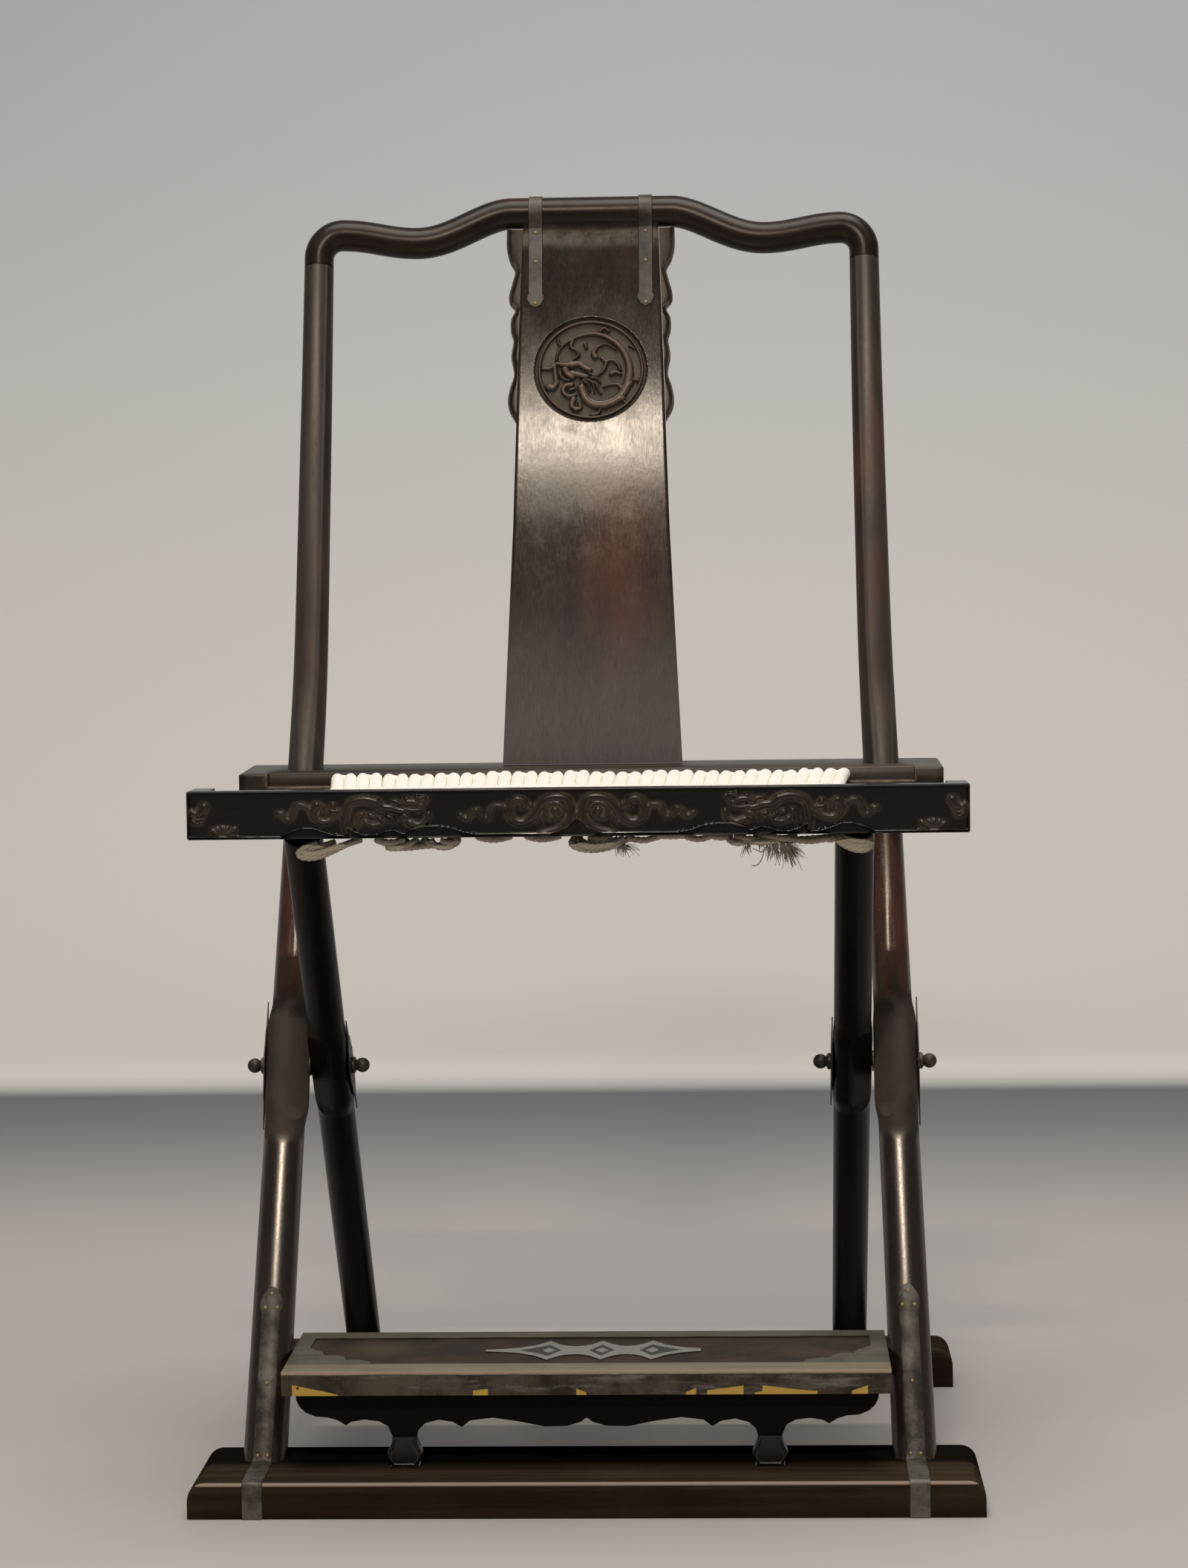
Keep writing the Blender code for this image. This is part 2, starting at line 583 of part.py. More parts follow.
def build_seat_rails():
    """Both seat rails, each with the rebate that the cord lies in."""
    half = FRONT_SEAT_LENGTH / 2
    inner_face = FRONT_SEAT_Y + FRONT_SEAT_WIDTH
    ledge = SEAT_HEIGHT - REBATE_DROP
    above = SEAT_HEIGHT + OVERRUN
    front = block("front_seat_rail", (-half, FRONT_SEAT_Y, SEAT_HEIGHT - FRONT_SEAT_DROP),
                  (half, inner_face, SEAT_HEIGHT), DARK_WOOD, edge=SEAT_EDGE_ROUND)
    cut = block("front_rebate", (-REBATE_LENGTH / 2, FRONT_SEAT_Y + LIP_WIDTH, ledge),
                (REBATE_LENGTH / 2, inner_face + OVERRUN, above), cutter=True)
    combine(front, cut, "DIFFERENCE")
    half = REAR_SEAT_LENGTH / 2
    rear = block("rear_seat_rail", (-half, REAR_SEAT_Y, SEAT_HEIGHT - REAR_SEAT_DROP),
                 (half, REAR_SEAT_Y + REAR_SEAT_WIDTH, SEAT_HEIGHT), DARK_WOOD, edge=SEAT_EDGE_ROUND)
    cut = block("rear_rebate", (-REBATE_LENGTH / 2, REAR_SEAT_Y - OVERRUN, ledge),
                (REBATE_LENGTH / 2, REAR_SEAT_Y + REBATE_DEPTH, above), cutter=True)
    combine(rear, cut, "DIFFERENCE")
    return front, rear


def build_crest(sockets):
    path = crest_path()
    crest = tube("crest_rail", path[:, :3], path[:, 3], DARK_WOOD)
    for socket in sockets:
        combine(crest, socket, "DIFFERENCE")
    places, radii = grown(path, GAP)
    return crest, tube("crest_seat", places, radii, cutter=True)


def splat_middle(z):
    """Depth of the splat's middle plane and its half width at a height."""
    foot = SEAT_HEIGHT + GAP
    share = (z - foot) / (CREST_HEIGHT - foot)
    rises = [row[0] for row in SPLAT_SHAPE_SHARES]
    leans = [row[1] for row in SPLAT_SHAPE_SHARES]
    bend = np.polyfit(rises, leans, 3)
    lean = np.polyval(bend, share)
    y = SPLAT_FOOT_Y + (CREST_Y - SPLAT_FOOT_Y) * lean
    half = np.interp(share, (0, SPLAT_MIDDLE_SHARE, 1), (SPLAT_HALF_FOOT, SPLAT_HALF_MIDDLE, SPLAT_HALF_TOP))
    return y, half


def splat_lean(z):
    step = SPLAT_THICK
    return math.atan2(splat_middle(z + step)[0] - splat_middle(z - step)[0], 2 * step)


def build_splat(crest_seat, rear_seat):
    """A board bent back in a gentle curve, narrower at the top, with a sunk round field."""
    shape = bmesh.new()
    bmesh.ops.create_grid(shape, x_segments=2, y_segments=18, size=1)
    for vertex in shape.verts:
        z = SEAT_HEIGHT + GAP + (CREST_HEIGHT - SEAT_HEIGHT - GAP) * (vertex.co.y + 1) / 2
        y, half = splat_middle(z)
        vertex.co = (vertex.co.x * half, y, z)
    mesh = bpy.data.meshes.new("splat")
    shape.to_mesh(mesh)
    shape.free()
    splat = keep(mesh, "splat", BROWN_WOOD)
    wall = splat.modifiers.new("board", "SOLIDIFY")
    wall.thickness = SPLAT_THICK
    wall.offset = 0
    trim = block("splat_foot_trim", (-BASE_LENGTH / 2, -BASE_DEPTH / 2, 0),
                 (BASE_LENGTH / 2, BASE_DEPTH / 2, SEAT_HEIGHT + GAP), cutter=True)
    combine(splat, trim, "DIFFERENCE")
    combine(splat, crest_seat, "DIFFERENCE")
    top_trim = block("splat_top_trim", (-SPLAT_HALF_FOOT, -BASE_DEPTH / 2, CREST_HEIGHT - CREST_RADIUS / 2),
                     (SPLAT_HALF_FOOT, BASE_DEPTH / 2, CREST_HEIGHT + CREST_RADIUS * 2), cutter=True)
    combine(splat, top_trim, "DIFFERENCE")
    low = (-SPLAT_TENON_HALF, SPLAT_FOOT_Y - SPLAT_TENON_THICK / 2, SEAT_HEIGHT - SPLAT_TENON_LENGTH)
    high = (SPLAT_TENON_HALF, SPLAT_FOOT_Y + SPLAT_TENON_THICK / 2, SEAT_HEIGHT + SPLAT_TENON_LENGTH / 2)
    combine(splat, block("splat_tenon", low, high, cutter=True), "UNION")
    slot_low = [value - GAP for value in low]
    slot_high = [value + GAP for value in high]
    combine(rear_seat, block("splat_slot", slot_low, slot_high, cutter=True), "DIFFERENCE")
    y, half = splat_middle(MEDALLION_HEIGHT)
    lean = splat_lean(MEDALLION_HEIGHT)
    front = (0, y - SPLAT_THICK / 2 * math.cos(lean), MEDALLION_HEIGHT + SPLAT_THICK / 2 * math.sin(lean))
    outward = (0, -math.cos(lean), math.sin(lean))
    sink = [(0, SPLAT_THICK), (MEDALLION_RADIUS, SPLAT_THICK), (MEDALLION_RADIUS, -MEDALLION_SINK),
            (0, -MEDALLION_SINK)]
    combine(splat, turned("medallion_field", sink, front, outward, cutter=True, steps=48), "DIFFERENCE")
    return splat


def build_side_strips(crest_seat):
    """Thin scalloped strips that flank the head of the splat, as wide as the splat's taper leaves them."""
    z_middle = (STRIP_TOP + STRIP_BOTTOM) / 2
    y_low = splat_middle(STRIP_BOTTOM)[0]
    y_high = splat_middle(STRIP_TOP)[0]
    lean = math.atan2(y_high - y_low, STRIP_TOP - STRIP_BOTTOM)
    length = (STRIP_TOP - STRIP_BOTTOM) / math.cos(lean)
    for word, side in SIDES:
        outer = []
        inner = []
        for share, reach in STRIP_EDGE_SHARES + ((1, 0.06),):
            z = STRIP_TOP - (STRIP_TOP - STRIP_BOTTOM) * share
            edge = splat_middle(z)[1] + GAP
            outer.append((edge + STRIP_REACH * reach, length * (0.5 - share)))
            inner.append((edge, length * (0.5 - share)))
        rows = smooth_path(outer, 3)
        outline = [(side * x, y) for x, y in rows] + [(side * x, y) for x, y in reversed(inner)]
        strip = plate("side_strip_" + word, [outline], STRIP_THICK,
                      upright((0, (y_low + y_high) / 2, z_middle), lean), DARK_WOOD)
        combine(strip, crest_seat, "DIFFERENCE")


def rivet_heads(name, places, outward, radius=RIVET_RADIUS):
    """Low domes on a strap, as one cutter of separate heads."""
    shape = bmesh.new()
    for place in places:
        turn = Vector(outward).to_track_quat("Z", "Y").to_matrix().to_4x4()
        matrix = Matrix.Translation(Vector(place)) @ turn @ Matrix.Diagonal((radius, radius, RIVET_PROUD, 1))
        bmesh.ops.create_uvsphere(shape, u_segments=8, v_segments=6, radius=1, matrix=matrix)
    bmesh.ops.recalc_face_normals(shape, faces=shape.faces)
    mesh = bpy.data.meshes.new(name)
    shape.to_mesh(mesh)
    shape.free()
    return keep(mesh, name, None, cutter=True)


def strap_end(half, point):
    """Ogee point of a strap as (across, along) from its tip upward."""
    return [(half * width, point * rise) for width, rise in STRAP_POINT_SHARES]


def build_crest_straps():
    """A metal strap over the crest, down both faces of the splat, with an ogee point at each end."""
    lower = CREST_HEIGHT - CREST_STRAP_DROP
    joint = CREST_HEIGHT - CREST_RADIUS - SPLAT_THICK / 2
    lean = splat_lean((lower + joint) / 2)
    near = 2 * GAP
    far = near + CREST_STRAP_THICK
    turn = math.degrees(lean)
    for word, side in SIDES:
        band = []
        for clearance, order in ((far, 1), (near, -1)):
            radius = CREST_RADIUS + clearance
            offset = SPLAT_THICK / 2 + clearance
            y_low = splat_middle(lower)[0]
            y_high = splat_middle(joint)[0]
            row = [(y_low - offset / math.cos(lean), lower), (y_high - offset / math.cos(lean), joint)]
            row += arc((CREST_Y, CREST_HEIGHT), radius, 205 - turn, -25 - turn, 16)
            row += [(y_high + offset / math.cos(lean), joint), (y_low + offset / math.cos(lean), lower)]
            band += row[::order]
        x = side * CREST_STRAP_X
        strap = plate("crest_strap_" + word, [band], CREST_STRAP_WIDTH * 1.1, sideways((x, 0, 0)), TARNISHED)
        half = CREST_STRAP_WIDTH / 2
        tip = strap_end(half, CREST_STRAP_WIDTH)
        above = CREST_HEIGHT + CREST_RADIUS * 2
        head = [(across, lower + along) for across, along in tip] + [(half, above), (-half, above)]
        head += [(-across, lower + along) for across, along in reversed(tip[1:])]
        window = plate(strap.name + "_outline", [head], CREST_RADIUS * 8, upright((x, CREST_Y, 0)),
                       cutter=True)
        combine(strap, window, "INTERSECT")
        for outward in (-1, 1):
            places = []
            for z in (lower + CREST_STRAP_WIDTH * 0.7, (lower + joint) / 2, joint - CREST_STRAP_WIDTH * 0.3):
                y = splat_middle(z)[0] + outward * (SPLAT_THICK / 2 + far) / math.cos(lean)
                places.append((x, y, z))
            heads = rivet_heads(strap.name + ("_rivets_back" if outward > 0 else "_rivets_front"), places,
                                (0, outward * math.cos(lean), -outward * math.sin(lean)))
            combine(strap, heads, "UNION")


def build_leg_straps():
    """A strap down the front of each back-frame leg, across the floor rail and down its front face."""
    lean = math.atan(BACK_SLOPE)
    outward = Vector((0, -math.cos(lean), math.sin(lean)))
    half = LEG_STRAP_WIDTH / 2
    head = LEG_STRAP_HEAD / 2
    top = (LEG_STRAP_HEIGHT - FRONT_FLOOR_HEIGHT) / math.cos(lean)
    shoulder = top - LEG_STRAP_HEAD
    tip = [(head * width, shoulder + head * rise) for width, rise in LEG_STRAP_HEAD_SHARES]
    inward = (BACK_SEAT.x - BACK_FOOT.x) / (BACK_SEAT - BACK_FOOT).length
    skin = GAP + LEG_STRAP_THICK
    for word, side in SIDES:
        ends = []
        radii = []
        for z in (FRONT_FLOOR_HEIGHT - BACK_RADIUS_FOOT * 2, LEG_STRAP_HEIGHT + LEG_STRAP_HEAD):
            place, radius = along_back_leg(z)
            ends.append((side * place.x, place.y, place.z))
            radii.append(radius + skin)
        strap = tube("leg_strap_" + word, ends, radii, TARNISHED, resolution=STRAP_ROUNDNESS)
        x = side * BACK_FOOT.x
        outline = [(half, -top)] + tip
        outline += [(-across, along) for across, along in reversed(tip[:-1])] + [(-half, -top)]
        outline = [(across + side * inward * along, along) for across, along in outline]
        depth = BACK_RADIUS_FOOT * 2
        middle = Vector((x, BACK_FOOT.y, BACK_FOOT.z)) + outward * (depth / 2 + BACK_RADIUS_FOOT / 3)
        window = plate(strap.name + "_outline", [outline], depth, upright(middle, lean), cutter=True)
        combine(strap, window, "INTERSECT")
        beyond = (Vector(ends[1]) - Vector(ends[0])).normalized() * OVERRUN
        longer = (Vector(ends[0]) - beyond, Vector(ends[1]) + beyond)
        bed = tube(strap.name + "_bed", longer, [radius - LEG_STRAP_THICK for radius in radii], cutter=True,
                   resolution=STRAP_ROUNDNESS)
        combine(strap, bed, "DIFFERENCE")
        inner = FRONT_FLOOR_HEIGHT + GAP
        face = -BASE_DEPTH / 2 - GAP
        trim_z = inner + LEG_STRAP_THICK / 2
        below = block(strap.name + "_floor", (x - LEG_STRAP_HEAD, -BASE_DEPTH, -LEG_STRAP_HEIGHT),
                      (x + LEG_STRAP_HEAD, 0, trim_z), cutter=True)
        combine(strap, below, "DIFFERENCE")
        band = [(BACK_FOOT.y, inner), (face, inner), (face, GAP), (face - LEG_STRAP_THICK, GAP),
                (face - LEG_STRAP_THICK, inner + LEG_STRAP_THICK), (BACK_FOOT.y, inner + LEG_STRAP_THICK)]
        width = LEG_STRAP_WIDTH + 2 * GAP
        foot = plate(strap.name + "_foot", [band], width, sideways((x, 0, 0)), cutter=True)
        wide_radii = [radius - LEG_STRAP_THICK / 2 for radius in radii]
        wider = tube(foot.name + "_bed", longer, wide_radii, cutter=True, resolution=STRAP_ROUNDNESS)
        combine(foot, wider, "DIFFERENCE")
        combine(strap, foot, "UNION")
        spots = []
        low = LEG_STRAP_WIDTH * 0.9
        for along, across in ((top - head * 0.55, 0), (shoulder, head * 0.62), (shoulder, -head * 0.62),
                              (top / 2, 0), (low, half * 0.55), (low, -half * 0.55)):
            place, radius = along_back_leg(BACK_FOOT.z + along * math.cos(lean))
            bulge = math.sqrt((radius + skin) ** 2 - across ** 2) - RIVET_PROUD / 2
            spots.append(Vector((side * place.x + across, place.y, place.z)) + outward * bulge)
        combine(strap, rivet_heads(strap.name + "_rivets", spots, outward), "UNION")


def build_pivots():
    """A bolt through both legs: a round knob and a long plate at each end, and a washer between the legs."""
    outer_face = BACK_PIVOT_X + BACK_PAD_THICK / 2
    inner_face = FRONT_PIVOT_X - FRONT_PAD_THICK / 2
    between = BACK_PIVOT_X - BACK_PAD_THICK / 2 - GAP
    half = PLATE_LENGTH / 2
    quarter = [(half * along, PLATE_WIDTH / 2 * across) for along, across in PLATE_EDGE_SHARES]
    upper = quarter + [(-along, across) for along, across in reversed(quarter)]
    outline = upper + [(along, -across) for along, across in reversed(upper[1:-1])]
    radius = BOLT_RADIUS + GAP
    knob = []
    for angle in np.radians(np.arange(0, 150, 20)):
        knob.append((KNOB_RADIUS * math.sin(angle), KNOB_RADIUS * (1 + math.cos(angle))))
    for word, side in SIDES:
        axis = (side, 0, 0)
        plates = (("pivot_plate_outer_", outer_face + GAP + PLATE_THICK / 2, BACK_ALONG),
                  ("pivot_plate_inner_", inner_face - GAP - PLATE_THICK / 2, FRONT_ALONG))
        for name, x, along in plates:
            plane = sideways((side * x, PIVOT_Y, PIVOT_Z), along)
            piece = plate(name + word, [outline], PLATE_THICK, plane, BRONZE)
            hole = [(0, x + OVERRUN), (radius, x + OVERRUN), (radius, x - OVERRUN), (0, x - OVERRUN)]
            bore = turned(name + word + "_bore", hole, (0, PIVOT_Y, PIVOT_Z), axis, cutter=True)
            combine(piece, bore, "DIFFERENCE")
        washer = [(radius, between), (WASHER_RADIUS, between), (WASHER_RADIUS, between - WASHER_THICK),
                  (radius, between - WASHER_THICK), (radius, between)]
        turned("pivot_washer_" + word, washer, (0, PIVOT_Y, PIVOT_Z), axis, BRONZE)
        seat = outer_face + 2 * GAP + PLATE_THICK
        inner_seat = inner_face - 2 * GAP - PLATE_THICK
        bolt_end = inner_seat - COLLAR_THICK - KNOB_RADIUS
        bolt = [(r, seat + COLLAR_THICK + along) for r, along in knob]
        bolt += [(COLLAR_RADIUS, seat + COLLAR_THICK), (COLLAR_RADIUS, seat), (BOLT_RADIUS, seat),
                 (BOLT_RADIUS, bolt_end), (0, bolt_end)]
        turned("pivot_bolt_" + word, bolt, (0, PIVOT_Y, PIVOT_Z), axis, BRONZE)
        nut = [(0, bolt_end - GAP), (radius, bolt_end - GAP), (radius, inner_seat),
               (COLLAR_RADIUS, inner_seat), (COLLAR_RADIUS, inner_seat - COLLAR_THICK)]
        nut += [(r, inner_seat - COLLAR_THICK - along) for r, along in reversed(knob)]
        turned("pivot_nut_" + word, nut, (0, PIVOT_Y, PIVOT_Z), axis, BRONZE)


def cord_path():
    """One cord laced to and fro between the seat rails, CORD_LOOPS times there and back.

    Each run lies on both rails with a shallow sag between them, and ends in a half turn in the rebate."""
    runs = CORD_LOOPS * 2
    pitch = 2 * CORD_SEAT_HALF / (runs - 1)
    turn = pitch / 2
    back = REAR_SEAT_Y + REBATE_DEPTH - GAP - CORD_RADIUS - turn
    front = FRONT_SEAT_Y + LIP_WIDTH + GAP + CORD_RADIUS + turn
    height = SEAT_HEIGHT - REBATE_DROP + GAP + CORD_RADIUS
    front_edge = FRONT_SEAT_Y + FRONT_SEAT_WIDTH
    span_points = CORD_POINTS // 2 - 7
    rows = []
    for run in range(runs):
        x = -CORD_SEAT_HALF + pitch * run
        goes_back = run % 2 == 0
        start, end = (front, back) if goes_back else (back, front)
        near, far = (front_edge, REAR_SEAT_Y) if goes_back else (REAR_SEAT_Y, front_edge)
        rows.append((x, start, height))
        for share in np.linspace(0, 1, span_points):
            sag = CORD_SAG * math.sin(math.pi * share) ** 2
            rows.append((x, near + (far - near) * share, height - sag))
        rows.append((x, end, height))
        if run < runs - 1:
            sign = 1 if goes_back else -1
            for angle in np.linspace(0, math.pi, 7)[1:-1]:
                rows.append((x + turn - turn * math.cos(angle), end + sign * turn * math.sin(angle), height))
    return np.array(rows)


def least_self_gap(path, radius, skip):
    """Least clear distance between stretches of a tube more than skip points apart."""
    fine = np.vstack([path[:-1] + (path[1:] - path[:-1]) * share for share in (0, 0.25, 0.5, 0.75)])
    order = np.concatenate([np.arange(len(path) - 1) + share for share in (0, 0.25, 0.5, 0.75)])
    least = math.inf
    for place, index in zip(fine, order):
        far = np.abs(order - index) > skip
        least = min(least, float(np.linalg.norm(fine[far] - place, axis=1).min()))
    return least - 2 * radius


def build_seat_cord():
    path = cord_path()
    print("Least gap between turns of the seat cord, in metres:", least_self_gap(path, CORD_RADIUS, 6))
    tube("seat_cord", path, [CORD_RADIUS] * len(path), CORD, resolution=1)


def build_lacing():
    """The cord's tail, looped along the underside of the front seat rail between the legs."""
    top = SEAT_HEIGHT - FRONT_SEAT_DROP - GAP - LACING_RADIUS
    reach = FRONT_TOP.x - FRONT_RADIUS - LACING_RADIUS * 2
    y = FRONT_SEAT_Y + FRONT_SEAT_WIDTH / 2
    rows = []
    for share in np.linspace(0, 1, LACING_WAVES * LACING_POINTS + 1):
        phase = 2 * math.pi * LACING_WAVES * share
        swing = LACING_DROP / 2
        x = -reach + 2 * reach * share
        rows.append((x, y + swing * math.sin(phase), top - swing * (1 - math.cos(phase))))
    tube("seat_cord_lacing", rows, [LACING_RADIUS] * len(rows), CORD, resolution=1)


def build_footrest():
    """A board sheathed in metal, an inlaid panel, a scalloped apron below and two short feet."""
    back = FOOTREST_Y + FOOTREST_DEPTH
    top = FOOTREST_HEIGHT - SHEET_THICK - GAP
    underside = top - FOOTREST_THICK
    skin = SHEET_THICK + GAP
    board = block("footrest_board", (-FOOTREST_HALF, FOOTREST_Y + skin, underside),
                  (FOOTREST_HALF, back, top), PANEL_WOOD, edge=GAP, steps=1)
    pin_place, leg_radius = along_back_leg(footrest_pin_z())
    boss_x = pin_place.x - leg_radius
    radius = FOOTREST_PIN_RADIUS
    inner_end = FOOTREST_HALF - FOOTREST_PIN_REACH
    outer_end = boss_x + FOOTREST_PIN_REACH
    for word, side in SIDES:
        centre = (0, pin_place.y, pin_place.z)
        pin = [(0, outer_end), (radius, outer_end), (radius, inner_end), (0, inner_end)]
        turned("footrest_pin_" + word, pin, centre, (side, 0, 0), BRONZE, steps=12)
        hole = [(0, FOOTREST_HALF + OVERRUN), (radius + GAP, FOOTREST_HALF + OVERRUN),
                (radius + GAP, inner_end - GAP), (0, inner_end - GAP)]
        bore = turned("board_pin_hole_" + word, hole, centre, (side, 0, 0), cutter=True, steps=12)
        combine(board, bore, "DIFFERENCE")
    build_cladding(back, top, underside)
    build_inlay(top)
    build_apron(underside - GAP)


def build_cladding(back, top, underside):
    """Sheet metal round the top, open over the panel with cloud-shaped corners, and down the front edge."""
    front_line = FOOTREST_Y + PANEL_FRONT_BORDER
    opening_depth = FOOTREST_DEPTH - PANEL_FRONT_BORDER - PANEL_BACK_BORDER
    corner = []
    for out, rise in PANEL_CLOUD_SHARES:
        x = PANEL_HALF_FRONT + (PANEL_HALF_BACK - PANEL_HALF_FRONT) * out
        corner.append((x, front_line + opening_depth * rise))
    opening = corner + [(-x, y) for x, y in reversed(corner)]
    border = [(-FOOTREST_HALF, FOOTREST_Y), (FOOTREST_HALF, FOOTREST_Y), (FOOTREST_HALF, back),
              (-FOOTREST_HALF, back)]
    middle = top + GAP + SHEET_THICK / 2
    plane = Matrix.Translation((0, 0, middle))
    sheet = plate("footrest_cladding", [border, opening], SHEET_THICK, plane, TARNISHED)
    fascia = block("cladding_fascia", (-FOOTREST_HALF, FOOTREST_Y, underside),
                   (FOOTREST_HALF, FOOTREST_Y + SHEET_THICK, middle), cutter=True)
    combine(sheet, fascia, "UNION")


def build_inlay(top):
    """Three linked lozenges of thin metal let into the middle of the panel."""
    length = LOZENGE_LENGTH * LOZENGE_COUNT
    upper = [(-length / 2, 0)]
    for index in range(LOZENGE_COUNT):
        x = -length / 2 + LOZENGE_LENGTH * (index + 0.5)
        upper.append((x, LOZENGE_HALF))
        if index < LOZENGE_COUNT - 1:
            upper.append((x + LOZENGE_LENGTH / 2, LOZENGE_LINK))
    upper.append((length / 2, 0))
    outline = upper + [(x, -y) for x, y in reversed(upper[1:-1])]
    depth = FOOTREST_DEPTH - PANEL_FRONT_BORDER - PANEL_BACK_BORDER
    y = FOOTREST_Y + PANEL_FRONT_BORDER + depth / 2
    middle = top + GAP + LOZENGE_THICK / 2
    plate("footrest_inlay", [outline], LOZENGE_THICK, Matrix.Translation((0, y, middle)), PEWTER)


def build_apron(top):
    """The scalloped board under the footrest, and the two feet that stand on the floor rail."""
    y = FOOTREST_Y + APRON_SETBACK
    edge = [(APRON_HALF * x, top - APRON_DROP * drop) for x, drop in APRON_EDGE_SHARES]
    outline = edge + [(-x, z) for x, z in reversed(edge[:-1])]
    plate("footrest_apron", [outline], APRON_THICK, upright((0, y + APRON_THICK / 2, 0)), DARK_WOOD)
    foot_top = top - APRON_DROP - GAP
    foot_drop = foot_top - FRONT_FLOOR_HEIGHT - GAP
    for word, side in SIDES:
        rows = [(FOOT_HALF * width, foot_top - foot_drop * drop) for drop, width in FOOT_SHAPE_SHARES]
        outline = rows + [(-x, z) for x, z in reversed(rows)]
        plate("footrest_foot_" + word, [outline], FOOT_THICK,
              upright((side * APRON_HALF * FOOT_X_SHARE, y + APRON_THICK / 2, 0)), DARK_WOOD)


def carry_on_hinge(name, place, pieces):
    """An empty on a hinge's axis, as the parent of the pieces that turn about it."""
    empty = bpy.data.objects.new(name, None)
    empty.location = place
    MODEL.objects.link(empty)
    bpy.context.view_layer.update()
    for piece in [obj for obj in MODEL.objects if obj.name.startswith(pieces)]:
        piece.parent = empty
        piece.matrix_parent_inverse = empty.matrix_world.inverted()


FRONT_FLOOR, REAR_FLOOR = build_floor_rails()
FRONT_SEAT, REAR_SEAT = build_seat_rails()
SOCKETS = list(build_back_posts(FRONT_FLOOR, REAR_SEAT))
build_front_legs(REAR_FLOOR, FRONT_SEAT)
CREST, CREST_SEAT = build_crest(SOCKETS)
build_splat(CREST_SEAT, REAR_SEAT)
build_side_strips(CREST_SEAT)
build_crest_straps()
build_leg_straps()
build_pivots()
build_seat_cord()
build_lacing()
build_footrest()
carry_on_hinge("fold_axis", (0, PIVOT_Y, PIVOT_Z),
               ("front_seat_rail", "front_leg", "rear_floor_rail", "pivot_plate_inner", "pivot_nut",
                "seat_cord_lacing"))
carry_on_hinge("footrest_axis", (0, along_back_leg(footrest_pin_z())[0].y, footrest_pin_z()),
               ("footrest_board", "footrest_cladding", "footrest_inlay", "footrest_apron", "footrest_foot"))
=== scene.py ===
"""A straight-backed folding chair of dark hardwood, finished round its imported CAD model.

Sections follow the chair as it is put together: floor rails, the two crossed frames, the back,
the metalwork, the corded seat and the footrest. Lengths are in metres, in the CAD model's frame.
"""
import math

import bmesh
import bpy
import numpy as np
from mathutils import Matrix, Vector


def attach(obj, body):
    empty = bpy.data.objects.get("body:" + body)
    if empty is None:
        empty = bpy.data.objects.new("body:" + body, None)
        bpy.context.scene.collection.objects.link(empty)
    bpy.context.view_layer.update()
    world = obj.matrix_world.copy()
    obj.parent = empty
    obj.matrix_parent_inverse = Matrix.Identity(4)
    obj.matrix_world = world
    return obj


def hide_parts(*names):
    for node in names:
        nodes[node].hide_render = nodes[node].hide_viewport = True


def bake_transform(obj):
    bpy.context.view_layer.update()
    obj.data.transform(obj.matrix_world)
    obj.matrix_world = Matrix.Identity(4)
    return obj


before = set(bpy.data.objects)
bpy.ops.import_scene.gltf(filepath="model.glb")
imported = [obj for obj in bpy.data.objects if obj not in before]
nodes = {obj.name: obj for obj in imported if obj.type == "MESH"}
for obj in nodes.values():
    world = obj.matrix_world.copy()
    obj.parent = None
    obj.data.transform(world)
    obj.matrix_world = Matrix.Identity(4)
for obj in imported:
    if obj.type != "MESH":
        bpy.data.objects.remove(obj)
scene = bpy.context.scene
scene.view_settings.view_transform = "Standard"
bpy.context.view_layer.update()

# Camera: about 2.9 m in front of the chair, a little above seat height, looking slightly down,
# with a long lens. Its place and turn come from fitting the model to the photograph.
CAMERA_PLACE = (0.122, -2.9291, 0.7207)
CAMERA_LENS = 83.52
CAMERA_YAW, CAMERA_PITCH, CAMERA_ROLL = -0.0402, 0.0628, 0.0134

ahead = Vector((math.sin(CAMERA_YAW) * math.cos(CAMERA_PITCH), math.cos(CAMERA_YAW) * math.cos(CAMERA_PITCH),
                -math.sin(CAMERA_PITCH)))
level = Vector((math.cos(CAMERA_YAW), -math.sin(CAMERA_YAW), 0))
above = level.cross(ahead)
right = level * math.cos(CAMERA_ROLL) - above * math.sin(CAMERA_ROLL)
up = level * math.sin(CAMERA_ROLL) + above * math.cos(CAMERA_ROLL)
camera = bpy.data.objects.new("camera", bpy.data.cameras.new("camera"))
camera.data.lens = CAMERA_LENS
camera.matrix_world = Matrix.Translation(CAMERA_PLACE) @ Matrix((right, up, -ahead)).transposed().to_4x4()
scene.collection.objects.link(camera)
scene.camera = camera


# Room: one pale sheet that is the floor and, behind a tight cove, the wall. The floor is painted darker
# towards the wall as shade, and the wall carries painted light, a glow brighter towards its foot that only
# the camera and reflections see. The wall stands where the photograph has it. The sheet isn't part of the
# chair, and its back is clear, so that a view from behind the wall shows the chair.
ROOM_HALF = 6.0
ROOM_FRONT = -6.0
WALL_Y = 1.96
WALL_TOP = 5.0
COVE_RADIUS = 0.05
# Floor colours near the chair and by the wall, darker there as painted shade; the wall's colour, and the
# painted light it glows with at its top and at its foot
FLOOR_NEAR = (0.51, 0.475, 0.455)
FLOOR_FAR = (0.190, 0.195, 0.202)
WALL_COLOUR = (0.415, 0.435, 0.455)
PAINTED_WALL_LIGHT_TOP = (0.02, 0.03, 0.03)
PAINTED_WALL_LIGHT_FOOT = (0.33, 0.285, 0.235)


def xyz(x, y, z):
    """Points from coordinates that broadcast together."""
    return np.stack(np.broadcast_arrays(x, y, z), -1)


